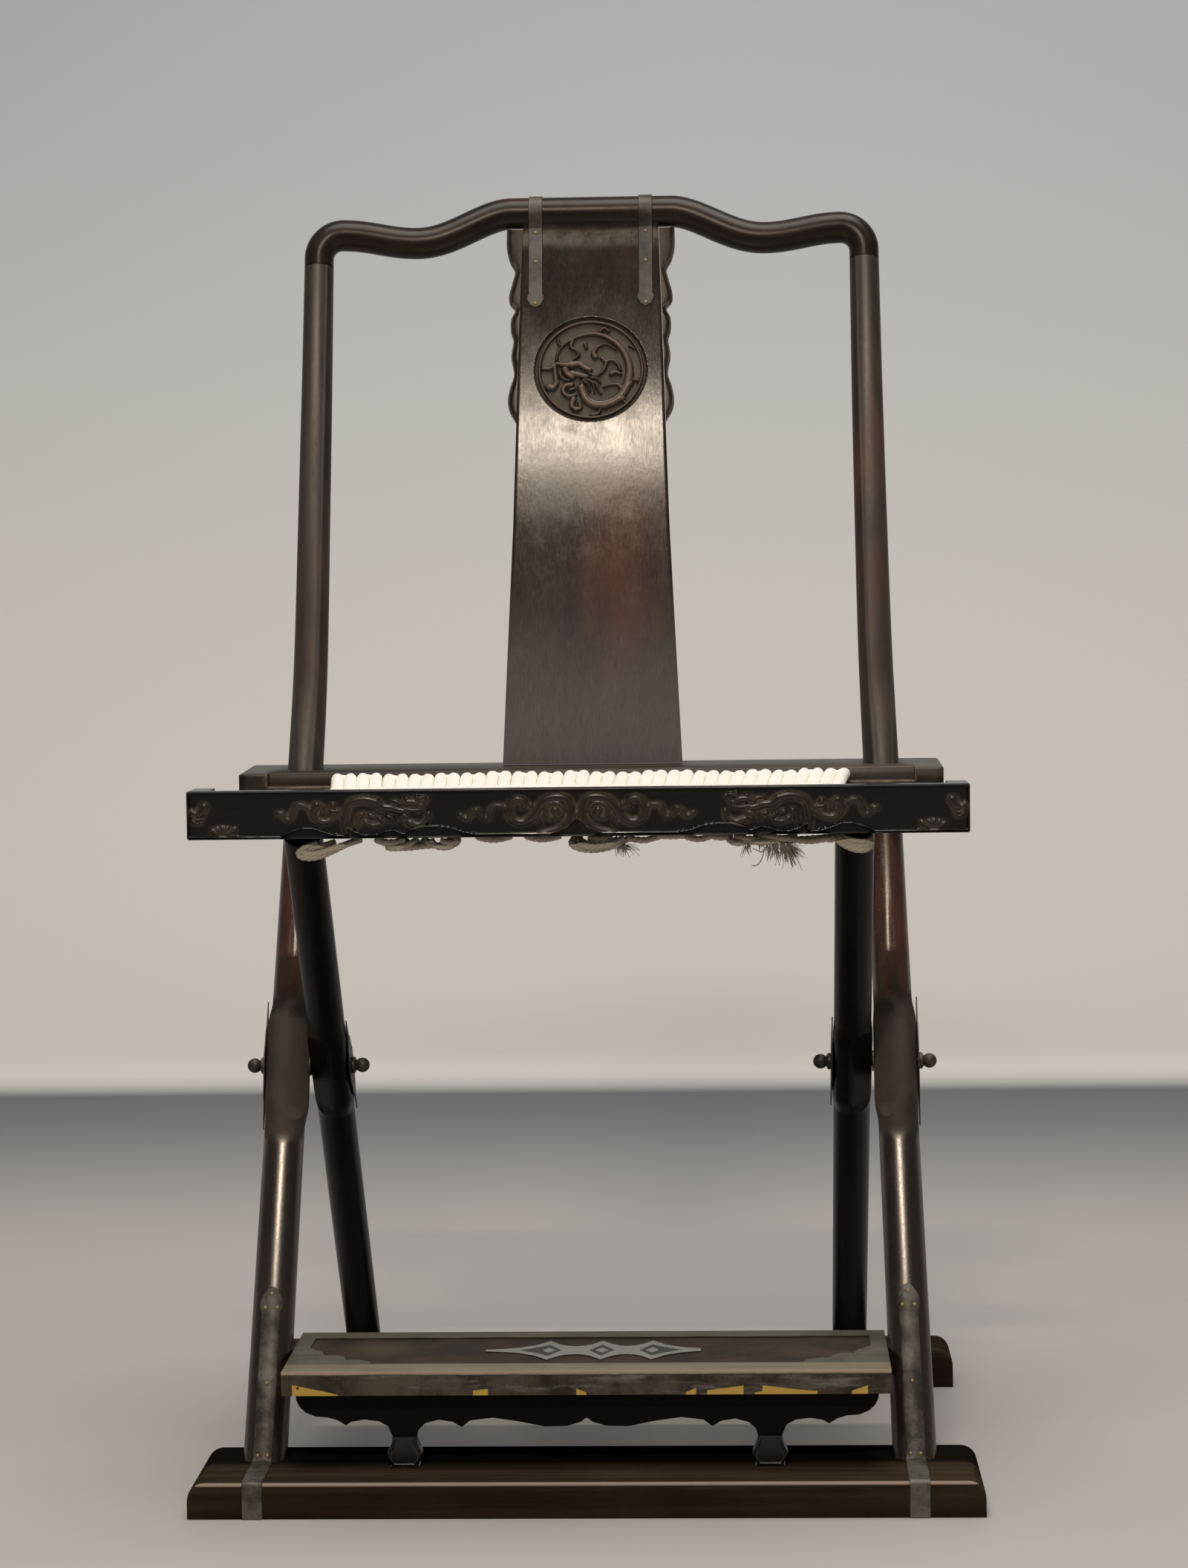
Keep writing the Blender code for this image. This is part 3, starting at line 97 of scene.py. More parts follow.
def skin(name, grid, tips=None, wrap_columns=True, sharp=40, **marks):
    """A mesh through a grid of points: rows by columns by xyz.

    Neighbouring points make quads, and a wrapped grid joins its last column to its first. tips are two
    points, each of which closes an end. If the volume comes out negative the faces are turned. Each of
    marks gives one number per point, kept as an attribute. The UV map counts rows and columns from 0 to 1."""
    grid = np.asarray(grid, float)
    if tips is not None:
        first, last = (np.broadcast_to(tip, (1,) + grid.shape[1:]) for tip in tips)
        grid = np.concatenate([first, grid, last])
        marks = {mark: np.pad(values, ((1, 1), (0, 0))) for mark, values in marks.items()}
    rows, columns = grid.shape[:2]
    row, column = np.meshgrid(np.arange(rows), np.arange(columns + wrap_columns), indexing="ij")

    def corners(values):
        return np.stack([values[:-1, :-1], values[:-1, 1:], values[1:, 1:], values[1:, :-1]], -1).reshape(-1, 4)

    quads = corners(row * columns + column % columns)
    places = np.stack([corners(column / column.max()), corners(row / row.max())], -1)
    points = grid.reshape(-1, 3)
    first, second, third, fourth = np.moveaxis((points - points.mean(0))[quads], 1, 0)
    if np.einsum("ij,ij->", first, np.cross(second, third) + np.cross(third, fourth)) < 0:
        quads, places = quads[:, ::-1], places[:, ::-1]
    mesh = bpy.data.meshes.new(name)
    mesh.from_pydata(points.tolist(), [], quads.tolist())
    mesh.uv_layers.new(name="UVMap").data.foreach_set("uv", places.ravel().astype(np.float32))
    for mark, values in marks.items():
        kept = mesh.attributes.new(mark, "FLOAT", "POINT")
        kept.data.foreach_set("value", np.ravel(values).astype(np.float32))
    return stand(name, mesh, sharp)


def stand(name, mesh, sharp):
    """Merge a mesh's equal points, shade it smooth up to an angle in degrees, and put it in the scene."""
    shape = bmesh.new()
    shape.from_mesh(mesh)
    bmesh.ops.remove_doubles(shape, verts=shape.verts, dist=1e-6)
    shape.to_mesh(mesh)
    shape.free()
    mesh.shade_smooth()
    mesh.set_sharp_from_angle(angle=math.radians(sharp))
    piece = bpy.data.objects.new(name, mesh)
    scene.collection.objects.link(piece)
    return piece


class Wire:
    """A number or colour on its way through a material. Arithmetic on it adds Math nodes."""

    def __init__(self, tree, socket=None):
        self.tree, self.socket = tree, socket

    def node(self, kind, settings=None, sockets=None, out=0):
        """Add a node: first its settings, then the values or links of its sockets."""
        made = self.tree.nodes.new("ShaderNode" + kind)
        for name, value in (settings or {}).items():
            setattr(made, name, value)
        self.plug(made, sockets or {})
        return Wire(self.tree, made.outputs[out])

    def plug(self, node, sockets):
        """Give sockets of a node their links, colours or numbers."""
        for key, value in sockets.items():
            if isinstance(value, Wire):
                self.tree.links.new(value.socket, node.inputs[key])
            elif node.inputs[key].type == "RGBA":
                node.inputs[key].default_value = (*value, 1)
            else:
                node.inputs[key].default_value = value

    def maths(self, operation, *values):
        return self.node("Math", {"operation": operation}, dict(enumerate(values)))

    def __add__(self, other):
        return self.maths("ADD", self, other)

    def __sub__(self, other):
        return self.maths("SUBTRACT", self, other)

    def __rsub__(self, other):
        return self.maths("SUBTRACT", other, self)

    def __mul__(self, other):
        return self.maths("MULTIPLY", self, other)

    def __abs__(self):
        return self.maths("ABSOLUTE", self)

    __radd__ = __add__

    def most(self, other):
        return self.maths("MAXIMUM", self, other)

    def ease(self, low, high):
        """0 below low, 1 above high and a smooth step between; the other way round if low is the higher."""
        return self.node("MapRange", {"interpolation_type": "SMOOTHSTEP"},
                         {"Value": self, "From Min": low, "From Max": high})

    def mix(self, share, first, second):
        """Colours mixed by a share, 0 for the first and 1 for the second."""
        return self.node("Mix", {"data_type": "RGBA"}, {0: share, 6: first, 7: second}, out=2)

    def mark(self, name):
        """One of the marks that skin keeps."""
        return self.node("Attribute", {"attribute_name": name}, out=2)

    def noise(self, scale, detail=4.0, roughness=0.55, stretch=(1, 1, 1)):
        """Noise at this place, drawn out along the axes whose stretch is small."""
        place = self.node("Mapping", {}, {"Vector": self, "Scale": stretch})
        return self.node("TexNoise", {}, {"Vector": place, "Scale": scale, "Detail": detail,
                                          "Roughness": roughness})

    def far_from(self, point):
        """Distance of this place from a point."""
        return self.node("VectorMath", {"operation": "DISTANCE"}, {0: self, 1: point}, out=1)

    def axis(self, letter):
        return self.node("SeparateXYZ", {}, {0: self}, out="XYZ".index(letter))


def finish(name):
    """A new material: the wire that starts its nodes, the place in the piece's frame, and a function that
    settles the shader.

    The function takes the shader's sockets by name, and a height for the bump with its depth in metres."""
    material = bpy.data.materials.new(name)
    material.use_nodes = True
    start = Wire(material.node_tree)
    shader = material.node_tree.nodes["Principled BSDF"]

    def settle(sockets, height=None, depth=0.001):
        start.plug(shader, sockets)
        if height is not None:
            start.plug(shader, {"Normal": height.node("Bump", {}, {"Height": height, "Distance": depth})})
        return material

    return start, start.node("TexCoord", out="Object"), settle


start, place, settle = finish("room_paint")
depth = place.axis("Y")
on_wall = depth.ease(WALL_Y - COVE_RADIUS, WALL_Y)
# Painted shade: the floor darkens towards the wall
floor_with_painted_shade = start.mix(depth.ease(0.8, 1.96), FLOOR_NEAR, FLOOR_FAR)
# Painted light: the wall glows, brighter at its foot, for camera and glossy rays
painted_wall_light = start.mix(place.axis("Z").ease(2.0, 0.1), PAINTED_WALL_LIGHT_TOP, PAINTED_WALL_LIGHT_FOOT)
seen = start.node("LightPath", out="Is Camera Ray").most(start.node("LightPath", out="Is Glossy Ray"))
room_paint = settle({"Base Color": start.mix(on_wall, floor_with_painted_shade, WALL_COLOUR),
                     "Emission Color": start.mix(on_wall * seen, (0, 0, 0), painted_wall_light),
                     "Emission Strength": 1.0, "Roughness": 0.62,
                     "Alpha": 1 - start.node("NewGeometry", out="Backfacing")})
cove = np.linspace(0, math.pi / 2, 9)
profile = np.concatenate([[(ROOM_FRONT, 0)],
                          np.column_stack([WALL_Y - COVE_RADIUS + COVE_RADIUS * np.sin(cove),
                                           COVE_RADIUS - COVE_RADIUS * np.cos(cove)]),
                          [(WALL_Y, WALL_TOP)]])
room = skin("room", xyz((-ROOM_HALF, ROOM_HALF), profile[:, :1], profile[:, 1:]), wrap_columns=False)
room.data.flip_normals()
room.data.materials.append(room_paint)


# Light: a broad soft lamp overhead, a smaller one above the camera whose reflection is the sheen on
# the splat, the posts and the lower legs, and a weak even light from the room.
# Name, place, target, width, height, watts and tint
LAMPS = (("overhead", (0.1, -0.25, 3.1), (0, 0.05, 0.5), 2.4, 1.4, 66.0, (1.0, 0.985, 0.96)),
         ("above_camera", (-0.16, -2.9, 2.60), (0, 0.14, 0.8), 0.50, 0.10, 38.0, (1.0, 0.90, 0.79)))
ROOM_LIGHT = (0.62, 0.62, 0.61)
ROOM_LIGHT_STRENGTH = 0.20

for name, lamp_place, target, width, height, watts, tint in LAMPS:
    lamp = bpy.data.lights.new(name, "AREA")
    lamp.shape = "RECTANGLE"
    lamp.size, lamp.size_y, lamp.energy, lamp.color = width, height, watts, tint
    holder = bpy.data.objects.new(name, lamp)
    aim = (Vector(target) - Vector(lamp_place)).to_track_quat("-Z", "Y").to_matrix().to_4x4()
    holder.matrix_world = Matrix.Translation(lamp_place) @ aim
    scene.collection.objects.link(holder)
world = bpy.data.worlds.new("room_light")
world.use_nodes = True
world.node_tree.nodes["Background"].inputs["Color"].default_value = (*ROOM_LIGHT, 1)
world.node_tree.nodes["Background"].inputs["Strength"].default_value = ROOM_LIGHT_STRENGTH
scene.world = world


# Floor rails: two heavy sawn boards with rounded ends that carry the legs. The front one is wide
# enough to tread on. Its top front edge is rubbed bare and shows paler wood, painted brighter still as a
# highlight. The rails' faces, and the front rail's top under the footrest, are painted dark as shade.
NEAR_BLACK = (0.0085, 0.0060, 0.0046)
DARK_BROWN = (0.026, 0.0155, 0.0110)
WARM_RED = (0.075, 0.021, 0.010)
RUBBED = (0.20, 0.125, 0.075)
PALE_FILM = (0.20, 0.175, 0.15)
PAINTED_SHADE_BLACK = (0.006, 0.0055, 0.005)
POLISH_TINT = (1.0, 0.90, 0.80)
FLOOR_HALF = 0.300
FRONT_FLOOR_FACE = -0.245
FRONT_FLOOR_TOP = 0.0275
# Front, back and top of each rail
FLOOR_RAILS = (("front_floor_rail", "back_frame", FRONT_FLOOR_FACE, -0.130, FRONT_FLOOR_TOP),
               ("rear_floor_rail", "front_frame", 0.181, 0.245, 0.032))
FLOOR_END_ROUND = 0.013
FLOOR_EDGE_ROUND = 0.0032
FLOOR_FOOT_ROUND = 0.0006


def wood(name, grain, deep=NEAR_BLACK, brown=DARK_BROWN, gloss=0.24, dust=0.06, shine=0.3, drawn=0.0,
         warm=None, rubbed=None, duller=None, painted_shade=None, broken=(0.40, 0.62), bare=RUBBED):
    """Old polished wood: fine streaks along the grain, pores, cloudy brown patches and a satin polish.

    grain is small along the grain and 1 across it. deep and brown are the wood's two colours, gloss is its
    roughness, dust the share of pale film, shine the strength of highlights and drawn how far the polish
    spreads them across the grain. The next four take the place and give a mask: where red wood shows
    through, where edges are rubbed pale, where polish is lost and where shade is painted in black. broken
    is the span of noise that breaks up rubbed edges, and bare is their colour."""
    start, place, settle = finish(name)
    streaks = place.noise(700, 5, 0.6, grain)
    bands = place.noise(75, 4, 0.55, grain)
    pores = place.noise(1900, 2, 0.5, tuple(0.5 + share / 2 if share == 1 else share * 1.5 for share in grain))
    cloud = place.noise(9, 5, 0.6)
    film = place.noise(31, 6, 0.68)
    colour = start.mix(bands.ease(0.35, 0.70) * 0.6 + cloud.ease(0.42, 0.72) * 0.4, deep, brown)
    if warm:
        colour = start.mix(warm(place) * (0.35 + bands.ease(0.3, 0.7) * 0.65), colour, WARM_RED)
    colour = start.mix(streaks.ease(0.56, 0.86) * 0.30, colour, tuple(2.6 * share for share in brown))
    colour = start.mix(film.ease(0.55, 0.85) * dust, colour, PALE_FILM)
    # Painted shade: where the mask says, the colour goes towards black
    if painted_shade:
        colour = start.mix(painted_shade(place), colour, PAINTED_SHADE_BLACK)
    if rubbed:
        worn = rubbed(place) * place.noise(55, 5, 0.7).ease(*broken)
        colour = start.mix(worn * 0.75, colour, bare)
    roughness = gloss + streaks.ease(0.35, 0.75) * 0.05 + film.ease(0.5, 0.8) * 0.08
    if duller:
        roughness = roughness + duller(place)
    height = streaks * 0.35 + pores.ease(0.60, 0.72) * -0.3 + bands * 0.3
    return settle({"Base Color": colour, "Roughness": roughness, "Specular IOR Level": shine,
                   "Anisotropic": drawn, "Specular Tint": POLISH_TINT}, height, 0.00005)


def dressed(node, bevel=0.0, sharp=40):
    """A copy of a CAD node with its loose triangles merged, flat faces joined up and edges eased."""
    mesh = nodes[node].data.copy()
    mesh.materials.clear()
    shape = bmesh.new()
    shape.from_mesh(mesh)
    bmesh.ops.remove_doubles(shape, verts=shape.verts, dist=1e-6)
    bmesh.ops.dissolve_limit(shape, angle_limit=math.radians(0.6), verts=shape.verts, edges=shape.edges)
    shape.to_mesh(mesh)
    shape.free()
    piece = stand(node + "_piece", mesh, sharp)
    if bevel:
        eased = piece.modifiers.new("eased edges", "BEVEL")
        eased.width = bevel
        eased.segments = 3
        eased.limit_method = "ANGLE"
        eased.angle_limit = math.radians(sharp)
    return piece


def fit(piece, material, body, slot, *stands_for):
    """Finish a piece, let it ride on a body, and let it stand for CAD nodes."""
    piece.data.materials.append(material)
    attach(piece, body)
    if stands_for:
        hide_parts(*stands_for)
    return piece


def smooth_step(values, low, high):
    """0 below low, 1 above high and a smooth step between."""
    share = np.clip((values - low) / (high - low), 0, 1)
    return share ** 2 * (3 - 2 * share)


def capped(grid, half, middle):
    """A rail's sections with both ends closed: one 3 percent smaller at the end, and then its middle."""
    ends = []
    for column, way in ((0, -1), (-1, 1)):
        centre = np.array(middle) + (way * half, 0, 0)
        ends.append([grid[column] + (centre - grid[column]) * (1, 0.03, 0.03),
                     np.broadcast_to(centre, grid[column].shape)])
    return np.concatenate([ends[0][::-1], grid, ends[1]])


def floor_rail_grid(front, back, top):
    """The section carried along the rail: up the face, over a quarter round, back along the top, down the
    back and home underneath. Towards each end the top sinks as a quarter circle."""
    turn = np.radians(np.linspace(0, 90, 7))
    nose = FLOOR_EDGE_ROUND * np.column_stack([1 - np.cos(turn), np.sin(turn) - 1])
    foot = FLOOR_FOOT_ROUND
    section = np.concatenate([[(front + foot, 0), (front, foot)], (front, top) + nose,
                              np.column_stack([np.linspace(front + 0.008, back - 0.008, 5), np.full(5, top)]),
                              (back, top) + nose[::-1] * (-1, 1), [(back, foot), (back - foot, 0)]])
    end = FLOOR_END_ROUND * np.sin(np.radians(np.linspace(0, 88, 16)))
    x = np.concatenate([-(FLOOR_HALF - FLOOR_END_ROUND + end)[::-1], np.linspace(-0.28, 0.28, 57),
                        FLOOR_HALF - FLOOR_END_ROUND + end])[:, None]
    beyond = np.clip(np.abs(x) - FLOOR_HALF + FLOOR_END_ROUND, 0, FLOOR_END_ROUND)
    sunk = FLOOR_END_ROUND - np.sqrt(FLOOR_END_ROUND ** 2 - beyond ** 2)
    z = section[:, 1] - sunk * smooth_step(section[:, 1], 0.0, top * 0.8)
    return capped(xyz(x, section[:, 0], z), FLOOR_HALF, (0, (front + back) / 2, top / 3))


def floor_rail_worn_and_highlit_edge(place):
    """A thin line along the front rail's top front edge, where shoes and hands rub; its pale colour is also a
    painted highlight along the rounded edge.
    """
    away = abs(place.axis("Y") - FRONT_FLOOR_FACE).most(abs(place.axis("Z") - FRONT_FLOOR_TOP))
    return away.ease(0.0030, 0.0014)


def floor_rail_painted_shade(place):
    """Painted shade: the front rail's top is painted black where the footrest shades it, and both rails'
    faces are painted a third of the way to black."""
    y, z = place.axis("Y"), place.axis("Z")
    return (y.ease(-0.192, -0.180) * y.ease(-0.10, -0.12) * 0.92).most(z.ease(0.0268, 0.0250) * 0.30)


# The rails have no highlights of their own: the rubbed front edge is painted bright, partly as wear and partly
# as a highlight
floor_wood = wood("floor_rail_wood", (0.04, 1, 1), deep=(0.032, 0.022, 0.014), brown=(0.072, 0.049, 0.030),
                  rubbed=floor_rail_worn_and_highlit_edge, gloss=0.34, dust=0.05, shine=0.0, painted_shade=floor_rail_painted_shade,
                  broken=(0.18, 0.42), bare=(0.48, 0.35, 0.27))
for name, body, front, back, top in FLOOR_RAILS:
    fit(skin(name + "_piece", floor_rail_grid(front, back, top), sharp=55), floor_wood, body, "dark_wood", name)


# Back posts: each is one long round bar, from the floor rail up past the seat to the crest, bent
# back above the seat. Where the legs cross it is thicker, with one flat planed on its front.
SIDES = (("left", -1), ("right", 1))
# x, y, z and radius, from the floor up
POST_STATIONS = (
    (0.25083, -0.17148, 0.0135, 0.01706), (0.24378, -0.03231, 0.3141, 0.01568),
    (0.23914, 0.05933, 0.5120, 0.01477), (0.2383, 0.0760, 0.5480, 0.0146),
    (0.23673, 0.09453, 0.5984, 0.01434), (0.23515, 0.10707, 0.6530, 0.01405),
    (0.23351, 0.12941, 0.7580, 0.0135), (0.23244, 0.15612, 0.8630, 0.01295), (0.2320, 0.1850, 0.9680, 0.0124))
# y and z of the bolts' axis
PIVOT = (-0.03231, 0.31408)
PAD_LENGTH = 0.104
PAD_SHOULDER = 0.022
PAD_HALF_DEPTH = 0.01625
BACK_PAD_HALF = 0.0173
BACK_PIVOT_X = 0.24378
PAD_SQUARENESS = 3.0
PLANED_WAY = math.radians(32)
PLANED_REACH = 0.0134
UNPLANED_REACH = 0.0185
BAR_COLUMNS = 72
BAR_STEP, PAD_STEP = 0.008, 0.001


def through(stations, steps):
    """A smooth curve through stations, each span a cubic that takes its slopes from its neighbours."""
    rows = np.asarray(stations, float)
    rows = np.vstack([2 * rows[0] - rows[1], rows, 2 * rows[-1] - rows[-2]])
    along = np.arange((len(rows) - 3) * steps + 1) / steps
    span = np.minimum(along.astype(int), len(rows) - 4)
    t = (along - span)[:, None]
    before, start, end, after = (rows[span + step] for step in range(4))
    return (2 * start + (end - before) * t + (2 * before - 5 * start + 4 * end - after) * t ** 2
            + (3 * start - before - 3 * end + after) * t ** 3) / 2


def distances(path):
    """Distance along a path at each of its points."""
    return np.concatenate([[0], np.cumsum(np.linalg.norm(np.diff(path[:, :3], axis=0), axis=1))])


def points_at(stops, run, line):
    """Points of a line at so many distances along it; run is the distance of each point that it has."""
    return np.column_stack([np.interp(stops, run, values) for values in line.T])


def unit(vectors):
    """Vectors, one a row, at length 1."""
    return vectors / np.linalg.norm(vectors, axis=1, keepdims=True)


def swept(path, side, over, x, y):
    """Sections along a path: x lies along side and y along over, both square to the path."""
    return path[:, None] + x[..., None] * side[:, None] + y[..., None] * over[:, None]


def bar(name, path, across, half_widths, half_depths, squareness=2.0, flat=None, sharp=60):
    """A closed bar along a path. Its section is |x / width|^n + |y / depth|^n = 1, round at n = 2 and
    squarer as n grows; across is the way of its width. flat is the way a planed face looks and its distance
    from the middle at each row."""
    heading = unit(np.gradient(path, axis=0))
    across = np.asarray(across, float)
    side = unit(across - (heading @ across)[:, None] * heading)
    turn = np.linspace(0, 2 * math.pi, BAR_COLUMNS, endpoint=False)
    power = 2 / np.broadcast_to(squareness, len(path))[:, None]
    x = np.sign(np.cos(turn)) * np.abs(np.cos(turn)) ** power * np.broadcast_to(half_widths, len(path))[:, None]
    y = np.sign(np.sin(turn)) * np.abs(np.sin(turn)) ** power * np.broadcast_to(half_depths, len(path))[:, None]
    if flat:
        (way_x, way_y), reach = flat
        cut = np.minimum(1, reach[:, None] / np.maximum(x * way_x + y * way_y, 1e-6))
        x, y = x * cut, y * cut
    return skin(name, swept(path, side, np.cross(heading, side), x, y), path[[0, -1]], sharp=sharp)


def leg_with_pad(name, path, radii, side, pad_x, pad_half, neighbour):
    """A round leg that is thicker and planed at the crossing: width, depth, squareness and middle line all
    ease from the bar's to the pad's over the shoulder at each end of the pad, and a flat is planed on its
    front, turned towards its neighbour, 1 for a neighbour towards +x."""
    run = distances(path)
    crossing = np.interp(PIVOT[1], path[:, 2], run)
    fine = np.arange(-PAD_LENGTH / 2 - 0.004, PAD_LENGTH / 2 + 0.004, PAD_STEP) + crossing
    stops = np.unique(np.concatenate([np.arange(0, run[-1], BAR_STEP), [run[-1]], fine]))
    path = points_at(stops, run, path)
    radii = np.interp(stops, run, radii)
    share = np.clip((PAD_LENGTH / 2 - np.abs(stops - crossing)) / PAD_SHOULDER, 0, 1)
    ease = smooth_step(share, 0, 1)
    path[:, 0] += (side * pad_x - path[:, 0]) * ease
    planed = UNPLANED_REACH + (PLANED_REACH - UNPLANED_REACH) * np.clip(share * 1.5, 0, 1) ** 0.5
    flat = (neighbour * math.sin(PLANED_WAY), -math.cos(PLANED_WAY)), planed
    return bar(name, path, (1, 0, 0), radii + (pad_half - radii) * ease,
               radii + (PAD_HALF_DEPTH - radii) * ease, 2 + (PAD_SQUARENESS - 2) * ease, flat, sharp=26)


def red_on_posts(place):
    """Red wood shows on the posts between the seat and the back's middle, and between crossing and seat."""
    height = place.axis("Z")
    above = height.ease(0.56, 0.64) * height.ease(0.93, 0.78) * place.noise(6, 3, 0.5).ease(0.35, 0.60)
    return above.most(height.ease(0.355, 0.385) * height.ease(0.53, 0.48) * 0.8)


def dull_above(place):
    """The posts keep their polish below the seat apart from the crossing, lose it above and have some of it
    again near the top."""
    height = place.axis("Z")
    pad = abs(height - 0.314).ease(0.058, 0.045)
    return height.ease(0.46, 0.60) * (0.26 - height.ease(0.80, 0.92) * 0.12) + pad * 0.45


post_wood = wood("post_wood", (1, 1, 0.03), brown=(0.032, 0.018, 0.012), gloss=0.235, dust=0.04, shine=1.00,
                 drawn=0.75, warm=red_on_posts, duller=dull_above)
for word, side in SIDES:
    path = through([(side * x, y, z, radius) for x, y, z, radius in POST_STATIONS], 24)
    post = leg_with_pad("back_post_" + word + "_piece", path[:, :3], path[:, 3], side, BACK_PIVOT_X,
                        BACK_PAD_HALF, -side)
    fit(post, post_wood, "back_frame", "brown_wood", "back_post_" + word)


# Front legs: two straight round bars from the rear floor rail up into the front seat rail. They are
# thicker and planed too where they cross the back posts, just inside them.
FRONT_LEG_FOOT = (0.21203, 0.22219, 0.02144)
FRONT_LEG_TOP = (0.20740, -0.20662, 0.51452)
FRONT_LEG_RADIUS = 0.0148
FRONT_LEG_ROWS = 60
FRONT_PIVOT_X = 0.20928
FRONT_PAD_HALF = 0.0157

# The legs' wood is near black, and is painted darker still than the other dark wood as the shade the legs are
# in
leg_wood = wood("leg_wood", (1, 1, 0.03), deep=(0.0045, 0.0037, 0.0033), brown=(0.007, 0.0055, 0.0045),
                gloss=0.28, dust=0.01, shine=0.10)
for word, side in SIDES:
    ends = np.array([FRONT_LEG_FOOT, FRONT_LEG_TOP]) * (side, 1, 1)
    path = ends[0] + (ends[1] - ends[0]) * np.linspace(0, 1, FRONT_LEG_ROWS)[:, None]
    leg = leg_with_pad("front_leg_" + word + "_piece", path, np.full(FRONT_LEG_ROWS, FRONT_LEG_RADIUS), side,
                       FRONT_PIVOT_X, FRONT_PAD_HALF, side)
    fit(leg, leg_wood, "front_frame", "dark_wood", "front_leg_" + word)


# Front seat rail: one squared bar with a rebate behind its lip for the cord. Its face is carved in
# low relief between a top moulding and a cusped lower edge: clouds, scrolls and two small dragons.
RAIL_HALF = 0.2925
RAIL_FACE = -0.226
RAIL_BACK = -0.186
RAIL_TOP = 0.548
RAIL_BOTTOM = 0.5115
RAIL_ROUND = 0.0012
REBATE_HALF = 0.2765
REBATE_FRONT = -0.215
LEDGE = 0.538
GROUND_DEPTH = 0.0026
UNDER_DEPTH = 0.0042
# In millimetres: the top moulding's height, the width of the beads at the ends, where the bead along the
# foot rises, and the half width of a stroke that stands at full height
MOULDING = 2.2
BEAD = 1.6
LOWER_BEAD = (35.0, 35.6)
RAIL_FULL_WIDTH = 3.2
STROKE_STEPS = 6
RAIL_STEP = 0.0007
# Half of the lower ridge, in millimetres from the middle and down from the top
OGEE = ((-290.5, 34.4), (-222.0, 34.7), (-215.2, 31.2), (-205.4, 28.4), (-197.7, 28.4), (-189.9, 31.4),
        (-182.1, 33.8), (-174.3, 34.4), (-171.4, 28.6), (-166.6, 31.5), (-158.8, 34.1), (-149.1, 33.6),
        (-143.3, 31.3), (-137.4, 30.2), (-131.6, 32.7), (-128.7, 33.2), (-125.8, 30.8), (-116.1, 28.0),
        (-104.4, 27.7), (-94.7, 29.1), (-85.0, 32.4), (-75.2, 34.1), (-18.9, 34.0), (-7.2, 29.6), (0.0, 22.4))
